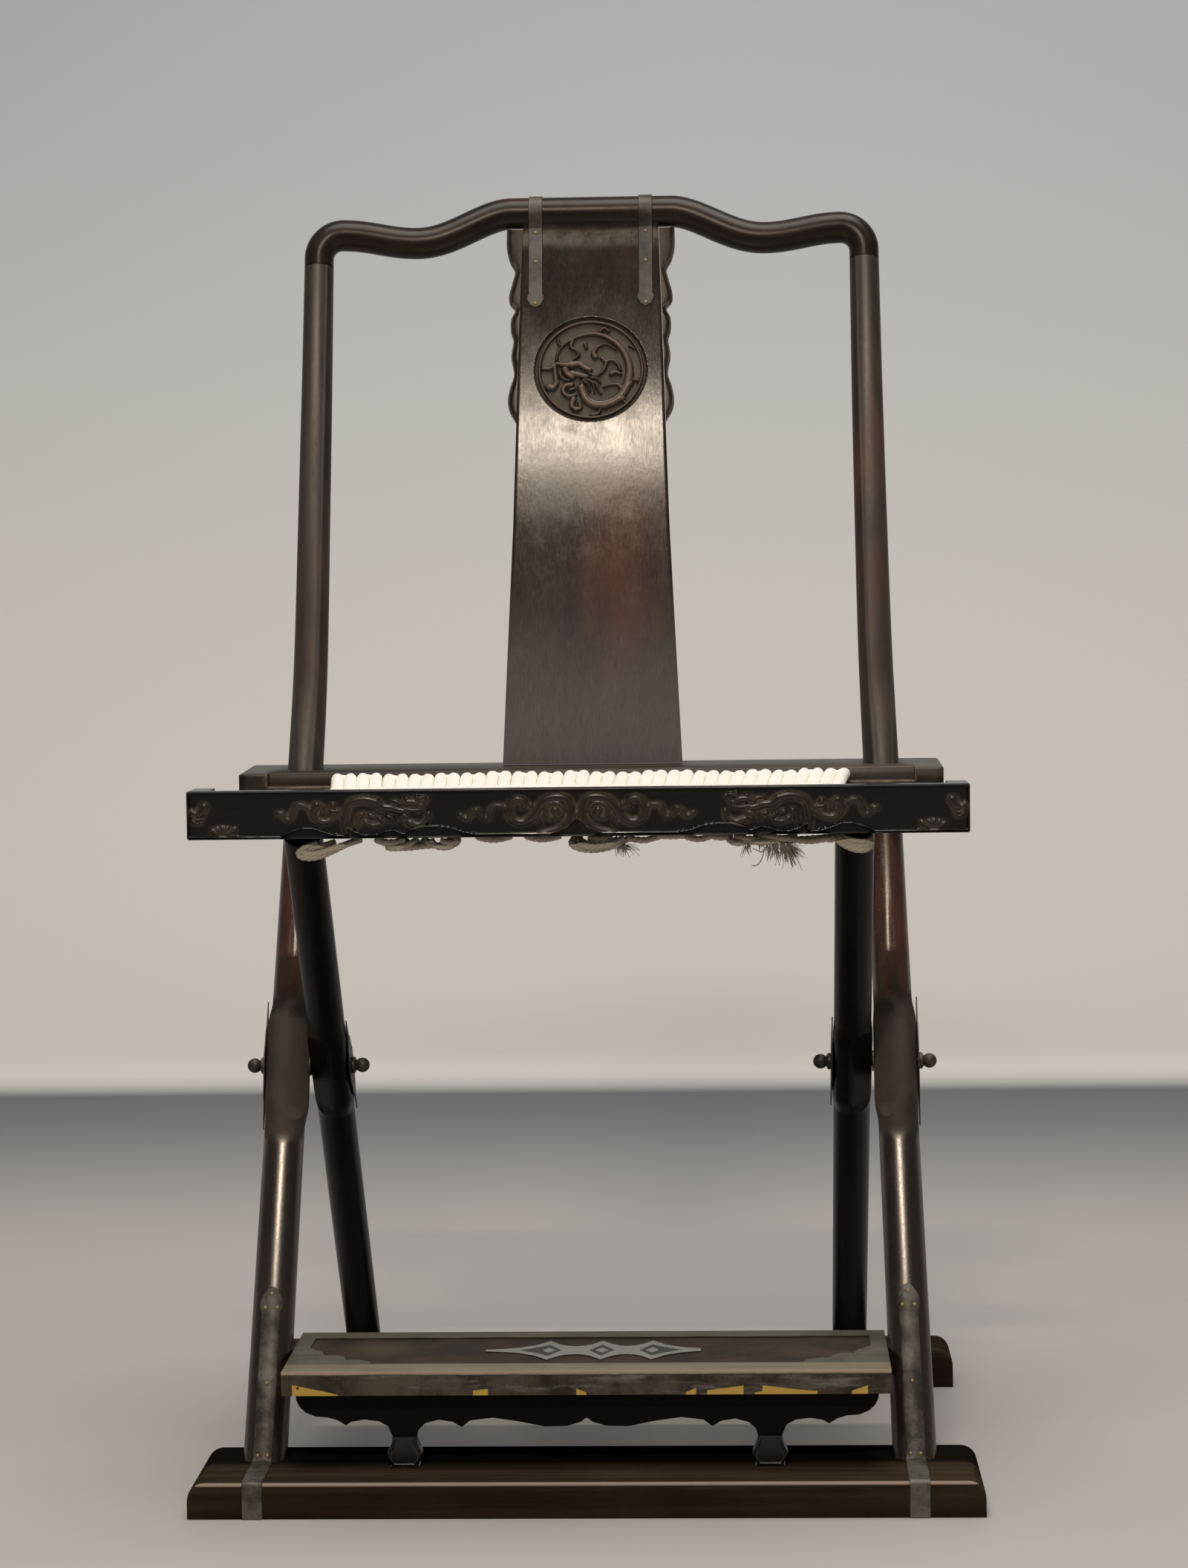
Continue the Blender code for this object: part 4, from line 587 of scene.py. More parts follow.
# Carved strokes of the left half in the same millimetres: half width at the start and the end, and points
RAIL_STROKES = (
    (3.6, 1.8, ((-279.5, 11.8), (-281.5, 15.6), (-285.5, 17.2), (-289.0, 15.0))),
    (1.6, 0.9, ((-288.6, 19.0), (-284.6, 21.2), (-280.4, 20.2))),
    (1.6, 0.9, ((-288.0, 22.2), (-284.6, 24.4), (-281.4, 23.0))),
    (1.2, 1.9, ((-267.6, 33.4), (-273.4, 29.6))), (1.2, 1.9, ((-266.8, 33.4), (-269.8, 28.4))),
    (1.2, 2.0, ((-266.0, 33.4), (-266.0, 27.8))), (1.2, 1.9, ((-265.2, 33.4), (-262.4, 28.2))),
    (1.2, 1.8, ((-264.4, 33.4), (-256.8, 28.8))),
    (2.0, 1.7, ((-223.6, 17.4), (-220.9, 17.4), (-217.1, 21.6), (-214.2, 20.4), (-211.1, 12.8), (-206.8, 10.6),
                (-201.9, 12.8), (-198.6, 15.4))),
    (3.2, 1.5, ((-194.6, 11.4), (-197.4, 15.4), (-196.5, 19.9), (-191.0, 23.6), (-183.5, 22.8), (-177.0, 18.4),
                (-173.6, 12.8))),
    (2.8, 1.4, ((-194.0, 11.4), (-190.4, 13.8), (-190.4, 18.0))),
    (2.2, 2.0, ((-182.6, 11.4), (-181.8, 12.4))), (1.5, 1.0, ((-184.0, 15.4), (-178.4, 15.8))),
    (2.0, 3.4, ((-172.6, 32.6), (-173.6, 25.8), (-173.2, 18.8), (-171.0, 11.8), (-166.2, 8.6), (-157.5, 7.6),
                (-150.0, 9.6))),
    (3.4, 2.4, ((-150.0, 9.6), (-145.2, 13.2), (-139.6, 13.8), (-134.8, 15.4), (-130.0, 16.4))),
    (2.4, 1.6, ((-160.8, 18.6), (-163.8, 21.0), (-163.6, 25.0), (-166.0, 28.0))),
    (2.4, 2.0, ((-154.6, 19.4), (-151.6, 20.6))), (2.0, 1.5, ((-158.4, 24.4), (-153.0, 26.6), (-147.6, 25.8))),
    (1.8, 1.6, ((-147.4, 21.8), (-143.4, 24.4))), (1.8, 1.4, ((-141.6, 20.0), (-137.4, 21.6), (-136.4, 25.0))),
    (2.0, 1.4, ((-132.2, 21.2), (-128.6, 19.6), (-126.0, 21.2))),
    (2.8, 2.2, ((-131.0, 12.0), (-126.0, 9.6), (-120.8, 10.2), (-116.6, 13.0))),
    (1.9, 1.9, ((-127.4, 6.8), (-126.6, 7.0))), (1.9, 1.9, ((-119.4, 5.9), (-118.8, 6.2))),
    (1.8, 1.0, ((-117.2, 13.2), (-113.8, 9.8), (-110.8, 6.8))),
    (1.6, 0.9, ((-121.6, 8.4), (-116.0, 6.0), (-112.4, 6.0))),
    (1.7, 1.3, ((-128.6, 14.8), (-122.4, 15.8), (-116.6, 15.2))),
    (1.5, 0.8, ((-133.4, 9.4), (-138.0, 8.2), (-141.4, 9.6))),
    (1.6, 2.7, ((-110.9, 18.8), (-112.4, 23.6), (-118.6, 26.6), (-125.6, 24.8))),
    (1.3, 2.3, ((-87.2, 19.4), (-82.5, 22.2), (-78.6, 18.6), (-75.1, 16.2))),
    (2.3, 1.6, ((-75.1, 16.2), (-71.4, 19.4), (-67.8, 22.8), (-65.2, 19.7), (-63.3, 14.7), (-57.7, 12.8),
                (-53.6, 14.6))),
    (2.4, 3.0, ((-39.4, 13.6), (-38.8, 10.4), (-44.1, 8.2), (-49.4, 11.3), (-50.9, 18.6), (-46.4, 24.6),
                (-38.5, 25.2), (-31.7, 19.9))),
    (3.0, 3.4, ((-31.7, 19.9), (-28.3, 14.4), (-23.8, 9.4), (-15.9, 7.0), (-8.4, 8.6), (-4.4, 14.4))),
    (3.4, 1.6, ((-4.4, 14.4), (-4.8, 23.1), (-11.4, 29.6), (-19.3, 32.2), (-27.0, 33.6))),
    (1.5, 1.8, ((-18.0, 23.4), (-22.6, 20.6), (-23.4, 15.6), (-19.6, 11.9), (-13.6, 11.5), (-9.6, 15.4),
                (-11.2, 20.2))),
    (2.9, 2.9, ((-16.2, 17.0), (-15.6, 17.3))), (1.6, 1.2, ((-15.6, 20.4), (-12.6, 22.6))),
    (1.9, 1.7, ((-34.4, 12.6), (-33.4, 13.4))), (1.6, 1.5, ((-29.6, 22.8), (-27.4, 26.6))),
    (1.4, 1.2, ((0.0, 19.0), (0.0, 25.0))))


def carved(across, down, strokes, full):
    """Height, 0 to 1, of rounded ridges along smooth lines: the round of a circle over each ridge's width,
    and lower where it is narrower than full.

    across and down are the points' places in the strokes' own unit."""
    height = np.zeros(across.shape)
    for first, last, points in strokes:
        line = through(points, STROKE_STEPS)
        widths = np.linspace(first, last, len(line))
        for (x, y), (far_x, far_y), width in zip(line, line[1:], (widths[1:] + widths[:-1]) / 2):
            near = ((across > min(x, far_x) - width) & (across < max(x, far_x) + width)
                    & (down > min(y, far_y) - width) & (down < max(y, far_y) + width))
            dx, dy = far_x - x, far_y - y
            share = np.clip(((across[near] - x) * dx + (down[near] - y) * dy) / (dx * dx + dy * dy), 0, 1)
            away = np.hypot(across[near] - x - share * dx, down[near] - y - share * dy) / width
            rise = np.sqrt(np.clip(1 - away ** 2, 0, 1)) * min(1, 0.35 + 0.65 * width / full)
            height[near] = np.maximum(height[near], rise)
    return height


def spread(values, points):
    """Values averaged over a square of so many points a side."""
    for _ in range(2):
        values = np.array([np.convolve(line, np.ones(points) / points, "same") for line in values]).T
    return values


def rail_face(x, z):
    """How far the face is cut in, how bare the relief is rubbed and how near it each hollow lies, for
    places on it in metres.

    The ground lies under the mouldings and strokes; below the cusped ridge it lies deeper."""
    across, down = np.broadcast_arrays(-np.abs(x) * 1000, (RAIL_TOP - z) * 1000)
    edge = np.interp(across, [point[0] for point in OGEE], [point[1] for point in OGEE])
    ridge = np.clip(1 - (down - edge) ** 2, 0, 1) ** 0.5
    top = np.clip(1 - (down / MOULDING) ** 4, 0, 1) ** 0.5
    bead = 1 - smooth_step(across + RAIL_HALF * 1000, BEAD, BEAD + 0.7)
    foot = smooth_step(down, *LOWER_BEAD) * (edge > 34)
    relief = carved(across, down, RAIL_STROKES, RAIL_FULL_WIDTH)
    raised = np.maximum.reduce([relief, ridge * 0.9, top, bead, foot])
    ground = GROUND_DEPTH + (UNDER_DEPTH - GROUND_DEPTH) * smooth_step(down, edge, edge + 0.8)
    hollow = np.clip(spread(relief, 9) * 2.2, 0, 1) * (1 - relief)
    return ground * (1 - raised), np.maximum(relief, ridge), hollow


def front_rail_grid():
    """The section carried along the rail: up the carved face, over the lip, down into the rebate, along
    the ledge, down the back and home underneath. Two columns at each end of the rebate make its walls."""
    stops = np.linspace(-REBATE_HALF, REBATE_HALF, int(2 * REBATE_HALF / RAIL_STEP))
    outer = np.linspace(REBATE_HALF, RAIL_HALF - RAIL_ROUND, 22)
    x = np.concatenate([-outer[::-1], stops, outer])
    notched = np.concatenate([outer * 0, np.ones(len(stops)), outer * 0])[:, None, None]
    z = np.linspace(RAIL_BOTTOM + RAIL_ROUND, RAIL_TOP - RAIL_ROUND, 60)
    cut, bare, hollow = rail_face(x[:, None], z[None])
    face = xyz(x[:, None], RAIL_FACE + cut, z)
    round_in = RAIL_ROUND * (1 - math.sqrt(0.5))
    full = np.array([(RAIL_FACE + round_in, RAIL_TOP - round_in), (RAIL_FACE + RAIL_ROUND, RAIL_TOP),
                     (REBATE_FRONT - RAIL_ROUND / 2, RAIL_TOP), (REBATE_FRONT, RAIL_TOP),
                     (REBATE_FRONT, RAIL_TOP), (REBATE_FRONT, RAIL_TOP), (RAIL_BACK - RAIL_ROUND, RAIL_TOP),
                     (RAIL_BACK, RAIL_TOP - RAIL_ROUND), (RAIL_BACK, RAIL_BOTTOM + RAIL_ROUND),
                     (RAIL_BACK - RAIL_ROUND, RAIL_BOTTOM), (RAIL_FACE + RAIL_ROUND, RAIL_BOTTOM),
                     (RAIL_FACE + round_in, RAIL_BOTTOM + round_in)])
    low = full.copy()
    low[3:8] = [(REBATE_FRONT, RAIL_TOP - RAIL_ROUND / 2), (REBATE_FRONT, LEDGE), (REBATE_FRONT, LEDGE),
                (RAIL_BACK - RAIL_ROUND, LEDGE), (RAIL_BACK, LEDGE - RAIL_ROUND)]
    rest = full + (low - full) * notched
    grid = np.concatenate([face, xyz(x[:, None], rest[..., 0], rest[..., 1])], 1)
    marks = np.concatenate([np.stack([bare, hollow]), np.zeros((2,) + rest.shape[:2])], 2)
    middle = (0, (RAIL_FACE + RAIL_BACK) / 2, (RAIL_TOP + RAIL_BOTTOM) / 2)
    return capped(grid, RAIL_HALF, middle), np.pad(marks, ((0, 0), (2, 2), (0, 0)))


def carved_wood(name, grain, gloss):
    """The dark wood where it is carved: dust lies in the hollows beside the relief, and its tops are
    polished a little paler."""
    start, place, settle = finish(name)
    bare, hollow = start.mark("bare"), start.mark("hollow")
    streaks = place.noise(700, 5, 0.6, grain)
    film = place.noise(60, 5, 0.65)
    colour = start.mix(bare.ease(0.45, 1.0) * 0.45, NEAR_BLACK, (0.032, 0.020, 0.015))
    colour = start.mix(hollow * film.ease(0.32, 0.58) * 0.65, colour, (0.155, 0.120, 0.082))
    colour = start.mix(streaks.ease(0.5, 0.9) * 0.22, colour, (0.055, 0.038, 0.028))
    return settle({"Base Color": colour, "Roughness": gloss + hollow * 0.25 + film * 0.08,
                   "Specular IOR Level": 0.5}, streaks * 0.4 + film * 0.6, 0.00008)


rail_grid, (rail_bare, rail_hollow) = front_rail_grid()
front_rail = skin("front_seat_rail_piece", rail_grid, sharp=48, bare=rail_bare, hollow=rail_hollow)
rail_wood = carved_wood("front_rail_wood", (0.04, 1, 1), 0.20)
fit(front_rail, rail_wood, "front_frame", "dark_wood", "front_seat_rail")


# Rear seat rail: a broad board through which the posts pass, its top worn a little lower in front.
# It has a rebate for the cord, whose edges hands and cord have rubbed bare.
REAR_HALF = 0.287
REAR_FACE, REAR_WALL, REAR_BACK = 0.022, 0.0382, 0.117
REAR_BOTTOM, REAR_TOP_FRONT, REAR_TOP_BACK = 0.512, 0.5456, 0.548
REAR_LEDGE = 0.5355
REAR_REBATE_HALF = 0.2636
REAR_ROUND = 0.0013


def rear_rail_grid():
    """The section carried along the rail: up the face, over the front edge or down into the rebate, back
    along the top, down the back and home underneath. Two columns at each end of the rebate make its walls."""
    outer = np.linspace(REAR_REBATE_HALF, REAR_HALF - REAR_ROUND, 5)
    stops = np.linspace(-REAR_REBATE_HALF, REAR_REBATE_HALF, 60)
    x = np.concatenate([-outer[::-1], stops, outer])
    notched = np.concatenate([outer * 0, np.ones(len(stops)), outer * 0])[:, None, None]
    edge = REAR_ROUND
    near = edge * (1 - math.sqrt(0.5))
    wall_top = np.interp(REAR_WALL, (REAR_FACE, REAR_BACK), (REAR_TOP_FRONT, REAR_TOP_BACK))
    full = np.array([(REAR_FACE + edge, REAR_BOTTOM), (REAR_FACE + near, REAR_BOTTOM + near),
                     (REAR_FACE, REAR_BOTTOM + edge), (REAR_FACE, REAR_TOP_FRONT - edge),
                     (REAR_FACE + near, REAR_TOP_FRONT - near), (REAR_FACE + edge, REAR_TOP_FRONT),
                     (REAR_WALL - edge, wall_top), (REAR_WALL, wall_top), (REAR_WALL + edge, wall_top),
                     (REAR_BACK - edge, REAR_TOP_BACK), (REAR_BACK - near, REAR_TOP_BACK - near),
                     (REAR_BACK, REAR_TOP_BACK - edge), (REAR_BACK, REAR_BOTTOM + edge),
                     (REAR_BACK - near, REAR_BOTTOM + near), (REAR_BACK - edge, REAR_BOTTOM)])
    low = full.copy()
    low[3:9] = [(REAR_FACE, REAR_LEDGE - edge), (REAR_FACE + near, REAR_LEDGE - near),
                (REAR_FACE + edge, REAR_LEDGE), (REAR_WALL, REAR_LEDGE), (REAR_WALL, wall_top - edge),
                (REAR_WALL + edge, wall_top)]
    section = full + (low - full) * notched
    return capped(xyz(x[:, None], section[..., 0], section[..., 1]), REAR_HALF,
                  (0, (REAR_FACE + REAR_BACK) / 2, (REAR_BOTTOM + REAR_TOP_BACK) / 2))


def rear_rail_edges(place):
    """The rebate's front edge, its two ends and the front edges of the solid ends."""
    x, y, z = abs(place.axis("X")), abs(place.axis("Y") - REAR_FACE), place.axis("Z")
    half = REAR_REBATE_HALF
    ledge = abs(z - REAR_LEDGE).most(y).ease(0.0026, 0.0008) * x.ease(half + 0.001, half)
    end = abs(x - half).most(y).ease(0.0024, 0.0006) * z.ease(REAR_LEDGE - 0.002, REAR_LEDGE)
    top = abs(z - REAR_TOP_FRONT).most(y).ease(0.0026, 0.0008) * x.ease(half - 0.001, half)
    return ledge.most(end).most(top * 0.6)


rear_rail_wood = wood("rear_rail_wood", (0.04, 1, 1), rubbed=rear_rail_edges, brown=(0.082, 0.064, 0.047),
                      gloss=0.38, dust=0.5)
rear_rail = skin("rear_seat_rail_piece", rear_rail_grid(), sharp=50)
fit(rear_rail, rear_rail_wood, "back_frame", "dark_wood", "rear_seat_rail")


# Crest rail: a round bar in one serpentine line, flat over the splat, dipping to each side and
# turning down through an elbow on to the posts.
CREST_HEIGHT = 1.0125
CREST_Y = 0.19746
CREST_LEAN = 0.28
CREST_RADIUS = 0.0133
CREST_FLAT = 0.068
CREST_DIP_X, CREST_DIP = 0.148, 0.0243
CREST_SHOULDER_X, CREST_SHOULDER = 0.212, 0.0165
CREST_ELBOW = 0.020
CREST_END_X, CREST_END, CREST_END_RADIUS = 0.232, 0.9686, 0.0124


def crest_half():
    """Half the middle line: level, a cosine ease down to the dip, another up to the shoulder, a round
    elbow, and straight down to the post. x, z and radius."""
    flat = np.linspace(0, CREST_FLAT, 12)
    fall = np.linspace(CREST_FLAT, CREST_DIP_X, 36)[1:]
    climb = np.linspace(CREST_DIP_X, CREST_SHOULDER_X, 26)[1:-1]
    drop = np.concatenate([
        flat * 0,
        CREST_DIP * (1 - np.cos(math.pi * ((fall - CREST_FLAT) / (CREST_DIP_X - CREST_FLAT)) ** 0.9)) / 2,
        CREST_DIP - (CREST_DIP - CREST_SHOULDER)
        * (1 - np.cos(math.pi * (climb - CREST_DIP_X) / (CREST_SHOULDER_X - CREST_DIP_X))) / 2])
    angle = np.radians(np.linspace(90, 4, 24))
    bend = np.column_stack([CREST_SHOULDER_X + CREST_ELBOW * np.cos(angle),
                            CREST_HEIGHT - CREST_SHOULDER - CREST_ELBOW + CREST_ELBOW * np.sin(angle)])
    line = np.concatenate([np.column_stack([np.concatenate([flat, fall, climb]), CREST_HEIGHT - drop]), bend,
                           [(CREST_END_X, 0.9735), (CREST_END_X, CREST_END)]])
    taper = np.linspace(CREST_RADIUS, CREST_END_RADIUS, len(bend) + 2)
    return np.column_stack([line, np.concatenate([np.full(len(drop), CREST_RADIUS), taper])])


half = crest_half()
whole = np.concatenate([half[:0:-1] * (-1, 1, 1), half])
crest_line = np.column_stack([whole[:, 0], CREST_Y + CREST_LEAN * (whole[:, 1] - CREST_HEIGHT), whole[:, 1]])
crest = bar("crest_rail_piece", crest_line, (0, 1, CREST_LEAN), whole[:, 2], whole[:, 2])


def crest_worn(place):
    """A worn spot on top where the flat begins on the left."""
    return abs(place.axis("X") + 0.066).ease(0.022, 0.004) * place.axis("Z").ease(1.018, 1.025)


crest_wood = wood("crest_wood", (0.04, 1, 1), brown=(0.022, 0.014, 0.010), gloss=0.30, dust=0.02, shine=0.25,
                  warm=crest_worn)
fit(crest, crest_wood, "back_frame", "dark_wood", "crest_rail")


# Splat: one thin board, bent back in a gentle curve and narrower at the top. Near its head a round
# field is sunk, with a coiled dragon among clouds carved in it inside a thin raised ring.
SEAT_TOP = 0.5483
SPLAT_HALF_THICK = 0.0055
SPLAT_FOOT_Y = 0.086
SPLAT_TOP = 1.004
# Shares of the height from seat to crest, with half widths and with shares of the bend
SPLAT_WIDTHS = ((0, 0.42, 1), (0.0745, 0.0655, 0.0572))
SPLAT_BEND = ((0.0, 0.33, 0.66, 1.0), (0.0, 0.25, 0.575, 1.0))
SPLAT_ROUND = 0.0011
FIELD_Z = 0.8759
FIELD_SQUASH = 0.965
FIELD_RADIUS = 0.0475
FIELD_MARGIN = 0.004
FIELD_POINTS = 206
FIELD_DEPTH = 0.0038
FIELD_FULL_WIDTH = 5.6
# Strokes in hundredths of the field's radius: right of the middle and up
FIELD_STROKES = (
    (3.0, 5.2, ((-61, 20), (-58, 34), (-49, 48), (-32, 60), (-12, 67), (6, 69), (25, 64), (43, 53))),
    (5.2, 8.6, ((43, 53), (57, 37), (66, 17), (69, -3), (67, -20))),
    (8.6, 10.0, ((67, -20), (62, -35), (54, -49), (42, -60), (24, -67))),
    (10.0, 8.0, ((24, -67), (6, -66), (-7, -57), (-13, -45), (-17, -34))),
    (3.6, 2.4, ((-58, 60), (-56, 50), (-44, 51), (-26, 63))),
    (4.6, 3.2, ((-32, 58), (-35, 45), (-25, 37), (-22, 28), (-37, 16))),
    (4.4, 3.4, ((-10, 50), (-8, 42))),
    (6.4, 4.0, ((8, 25), (5, 33), (12, 44))), (4.0, 2.4, ((12, 44), (28, 49), (46, 38))),
    (4.6, 3.0, ((20, 22), (27, 14), (24, 2), (17, -7), (6, -11), (-5, -5))),
    (4.4, 3.6, ((28, 16), (39, 18), (48, 10), (52, 0))),
    (5.0, 4.0, ((36, -8), (45, -5), (52, -9))),
    (5.0, 3.2, ((54, -35), (48, -29), (34, -29), (24, -33))),
    (4.0, 6.6, ((-62, 13), (-52, 11), (-43, 10), (-34, 12))),
    (7.4, 5.4, ((-34, 10), (-22, 12), (-12, 5), (-2, 0))),
    (6.4, 5.4, ((-46, 2), (-41, -8), (-32, -14))), (7.0, 5.4, ((-34, -6), (-22, -9), (-8, -13))),
    (3.4, 3.4, ((-42, 2), (-40, 1))), (4.2, 3.2, ((-55, -4), (-53, -12), (-46, -18), (-38, -20))),
    (4.6, 5.0, ((-84, 3), (-72, 4), (-65, 9), (-63, -10), (-61, -24))),
    (5.4, 8.0, ((-61, -24), (-67, -33), (-74, -32))),
    (3.6, 2.6, ((-12, -16), (0, -22), (10, -28), (13, -38), (18, -46))),
    (3.6, 2.4, ((-14, -20), (-4, -29), (-2, -41))), (3.4, 2.4, ((-17, -24), (-12, -33), (-10, -42))),
    (3.4, 2.4, ((0, -15), (11, -16), (17, -25))), (3.0, 2.2, ((2, -24), (6, -34), (6, -44))),
    (5.6, 4.4, ((-34, -28), (-45, -30), (-49, -41), (-40, -50), (-28, -48))),
    (4.6, 4.0, ((-36, -38), (-30, -36))),
    (6.4, 4.4, ((-31, -56), (-34, -68), (-27, -76))), (5.4, 4.2, ((-27, -76), (-19, -73), (-20, -64))),
    (4.0, 3.4, ((16, 74), (24, 80), (32, 74))), (3.8, 3.0, ((70, 45), (77, 40))),
    (3.4, 2.6, ((75, -20), (88, -22))),
    (4.6, 3.4, ((2, -86), (12, -84), (17, -76))), (7.0, 6.0, ((50, -55), (56, -56))),
    (7.4, 6.4, ((69, -27), (66, -31))),
    (3.6, 2.6, ((60, -62), (66, -68))))


def splat_shape(z):
    """Depth of the middle plane, half width and lean of the board at a height: a cubic through the
    bend's stations and a width that narrows in two straight parts."""
    share = (z - SEAT_TOP) / (CREST_HEIGHT - SEAT_TOP)
    bend = np.polyfit(*SPLAT_BEND, 3)
    y = SPLAT_FOOT_Y + (CREST_Y - SPLAT_FOOT_Y) * np.polyval(bend, share)
    slope = (CREST_Y - SPLAT_FOOT_Y) * np.polyval(np.polyder(bend), share) / (CREST_HEIGHT - SEAT_TOP)
    return y, np.interp(share, *SPLAT_WIDTHS), np.arctan(slope)


def middles(grid):
    """The middles of a grid's two end rows, as tips to close it."""
    return [grid[end].mean(0) for end in (0, -1)]


def splat_grid():
    """Rows up the board; round each row the front face, one rounded edge, the back and the other edge.
    The front sinks by the carved field's depth, square to the board."""
    field_lean = splat_shape(FIELD_Z)[2]
    reach = (FIELD_RADIUS + FIELD_MARGIN) * math.cos(field_lean)
    z = np.concatenate([np.linspace(SEAT_TOP, FIELD_Z - reach, 70)[:-1],
                        np.linspace(FIELD_Z - reach, FIELD_Z + reach, 196),
                        np.linspace(FIELD_Z + reach, SPLAT_TOP, 24)[1:]])[:, None]
    y, half, lean = splat_shape(z)
    field = np.linspace(-FIELD_RADIUS - FIELD_MARGIN, FIELD_RADIUS + FIELD_MARGIN, FIELD_POINTS)
    border = np.linspace(0, 1, 7)
    inner = half - SPLAT_ROUND
    span = inner + field[0]
    front = np.concatenate([-inner + span * border[:-1], np.broadcast_to(field, (len(z), FIELD_POINTS)),
                            field[-1] + span * border[1:]], 1)
    bevel = np.radians(np.linspace(0, 90, 4))
    edge_x = inner + SPLAT_ROUND * np.sin(bevel)
    edge_depth = SPLAT_HALF_THICK - SPLAT_ROUND + SPLAT_ROUND * np.cos(bevel)
    back = inner * np.linspace(1, -1, 9)
    out, home = edge_x[:, 1:], edge_x[:, :0:-1]
    x = np.concatenate([front, out, home, back, -out, -home], 1)
    out, home = edge_depth[1:], edge_depth[:0:-1]
    depth = np.concatenate([np.full(front.shape[1], SPLAT_HALF_THICK), out, -home,
                            np.full(back.shape[1], -SPLAT_HALF_THICK), -out, home])
    up = np.broadcast_to((z - FIELD_Z) / math.cos(field_lean) / FIELD_RADIUS / FIELD_SQUASH * 100, x.shape)
    across = x / FIELD_RADIUS * 100
    away = np.hypot(across, up)
    relief = carved(across, up, FIELD_STROKES, FIELD_FULL_WIDTH)
    ring = np.clip(1 - ((away - 91.5) / 3.2) ** 2, 0, 1) ** 0.5 * 0.85
    raised = np.maximum(relief * 0.95, ring)
    rim = 1 - smooth_step(away, 97.0, 100.5)
    depth = depth - FIELD_DEPTH * rim * (1 - raised) * (depth > 0) * (away < 102)
    grid = xyz(x, y - depth * np.cos(lean), z + depth * np.sin(lean))
    grid[:, :, 2] = np.where(z == SEAT_TOP, SEAT_TOP, grid[:, :, 2])
    # bare is the relief's height, whose tops get a painted highlight; hollow is the ground beside the relief,
    # where shade is painted
    hollow = np.clip(spread(raised, 11) * 1.9, 0, 1) * (1 - raised) * rim
    return grid, [mark * (depth > 0) for mark in (raised * (away < 98), hollow, rim)]


def splat_wood():
    """Polished wood with the grain upright: dark above and paler towards the foot, where dust and painted light
    reflected from the cord lie, red wood showing at the right of the middle, bruises across it and dust under
    the crest. In the carved field the ground is dusty, shade is painted beside the relief, and a highlight is
    painted on the relief's tops."""
    start, place, settle = finish("splat_wood")
    x, z = place.axis("X"), place.axis("Z")
    streaks = place.noise(620, 5, 0.62, (1, 1, 0.025))
    bands = place.noise(70, 4, 0.6, (1, 1, 0.05))
    cloud = place.noise(16, 5, 0.6)
    film = place.noise(38, 6, 0.7)
    bare, hollow, field = (start.mark(mark) for mark in ("bare", "hollow", "field"))
    red = abs(x - 0.024 + (cloud - 0.5) * 0.05).ease(0.048, 0.002) * z.ease(0.56, 0.70) * z.ease(0.84, 0.73)
    colour = start.mix(bands.ease(0.3, 0.7) * 0.7 + cloud.ease(0.4, 0.7) * 0.3, (0.012, 0.0085, 0.0070),
                       (0.032, 0.021, 0.016))
    colour = start.mix(red * (0.30 + bands * 0.5), colour, (0.105, 0.034, 0.018))
    colour = start.mix(streaks.ease(0.5, 0.85) * 0.22, colour, (0.085, 0.060, 0.045))
    colour = start.mix(film.ease(0.55, 0.8) * 0.08, colour, (0.20, 0.18, 0.16))
    head = z.ease(0.978, 0.990) * z.ease(1.000, 0.994) * film.ease(0.30, 0.60)
    colour = start.mix(head * 0.55, colour, (0.19, 0.165, 0.13))
    # Paler towards the foot: dust, and painted light reflected from the cord
    low = z.ease(0.74, 0.555) * (0.5 + streaks * 0.5)
    colour = start.mix(low * 0.55, colour, (0.24, 0.215, 0.205))
    carved_colour = start.mix(film.ease(0.3, 0.7), (0.062, 0.049, 0.036), (0.120, 0.098, 0.074))
    # Painted shade beside the relief
    carved_colour = start.mix(hollow.ease(0.45, 0.95) * 0.65, carved_colour, (0.016, 0.012, 0.009))
    carved_colour = start.mix(bare.ease(0.20, 0.5) * 0.95, carved_colour, (0.030, 0.018, 0.013))
    # Painted highlight on the relief's tops
    carved_colour = start.mix(bare.ease(0.60, 0.92) * (0.35 + film * 0.6), carved_colour, (0.150, 0.103, 0.076))
    colour = start.mix(field, colour, carved_colour)
    roughness = (0.125 + streaks.ease(0.3, 0.75) * 0.04 + film.ease(0.45, 0.75) * 0.06
                 + cloud.ease(0.4, 0.7) * 0.03 + field * (0.45 - bare.ease(0.3, 0.8) * 0.34))
    return settle({"Base Color": colour, "Roughness": roughness, "Specular IOR Level": 0.19,
                   "Specular Tint": (1.0, 0.94, 0.86)}, streaks * 0.5 + film * 0.6, 0.00007)


grid, (bare, hollow, field) = splat_grid()
splat = skin("splat_piece", grid, middles(grid), sharp=52, bare=bare, hollow=hollow, field=field)
fit(splat, splat_wood(), "back_frame", "brown_wood", "splat")


# Side strips: thin scalloped fillets glued along the head of the splat, each with a raised rim
# along its wavy edge and a shallow hollow behind the rim.
STRIP_TOP, STRIP_BOTTOM = 0.9975, 0.8335
STRIP_REACH = 0.0134
STRIP_HALF_THICK = 0.00375
# Share of the height down from the top, and of the reach
STRIP_WAVES = (
    (0.000, 1.00), (0.097, 0.96), (0.167, 0.74), (0.219, 0.40), (0.272, 0.50), (0.342, 0.70), (0.386, 0.66),
    (0.425, 0.30), (0.474, 0.53), (0.535, 0.52), (0.588, 0.34), (0.667, 0.44), (0.737, 0.27), (0.772, 0.24),
    (0.833, 0.46), (0.895, 0.56), (0.947, 0.44), (1.000, 0.06))
STRIP_RIM = 0.0022
STRIP_HOLLOW = 0.0011
STRIP_ROUND = 0.0008
STRIP_GAP = 0.0003

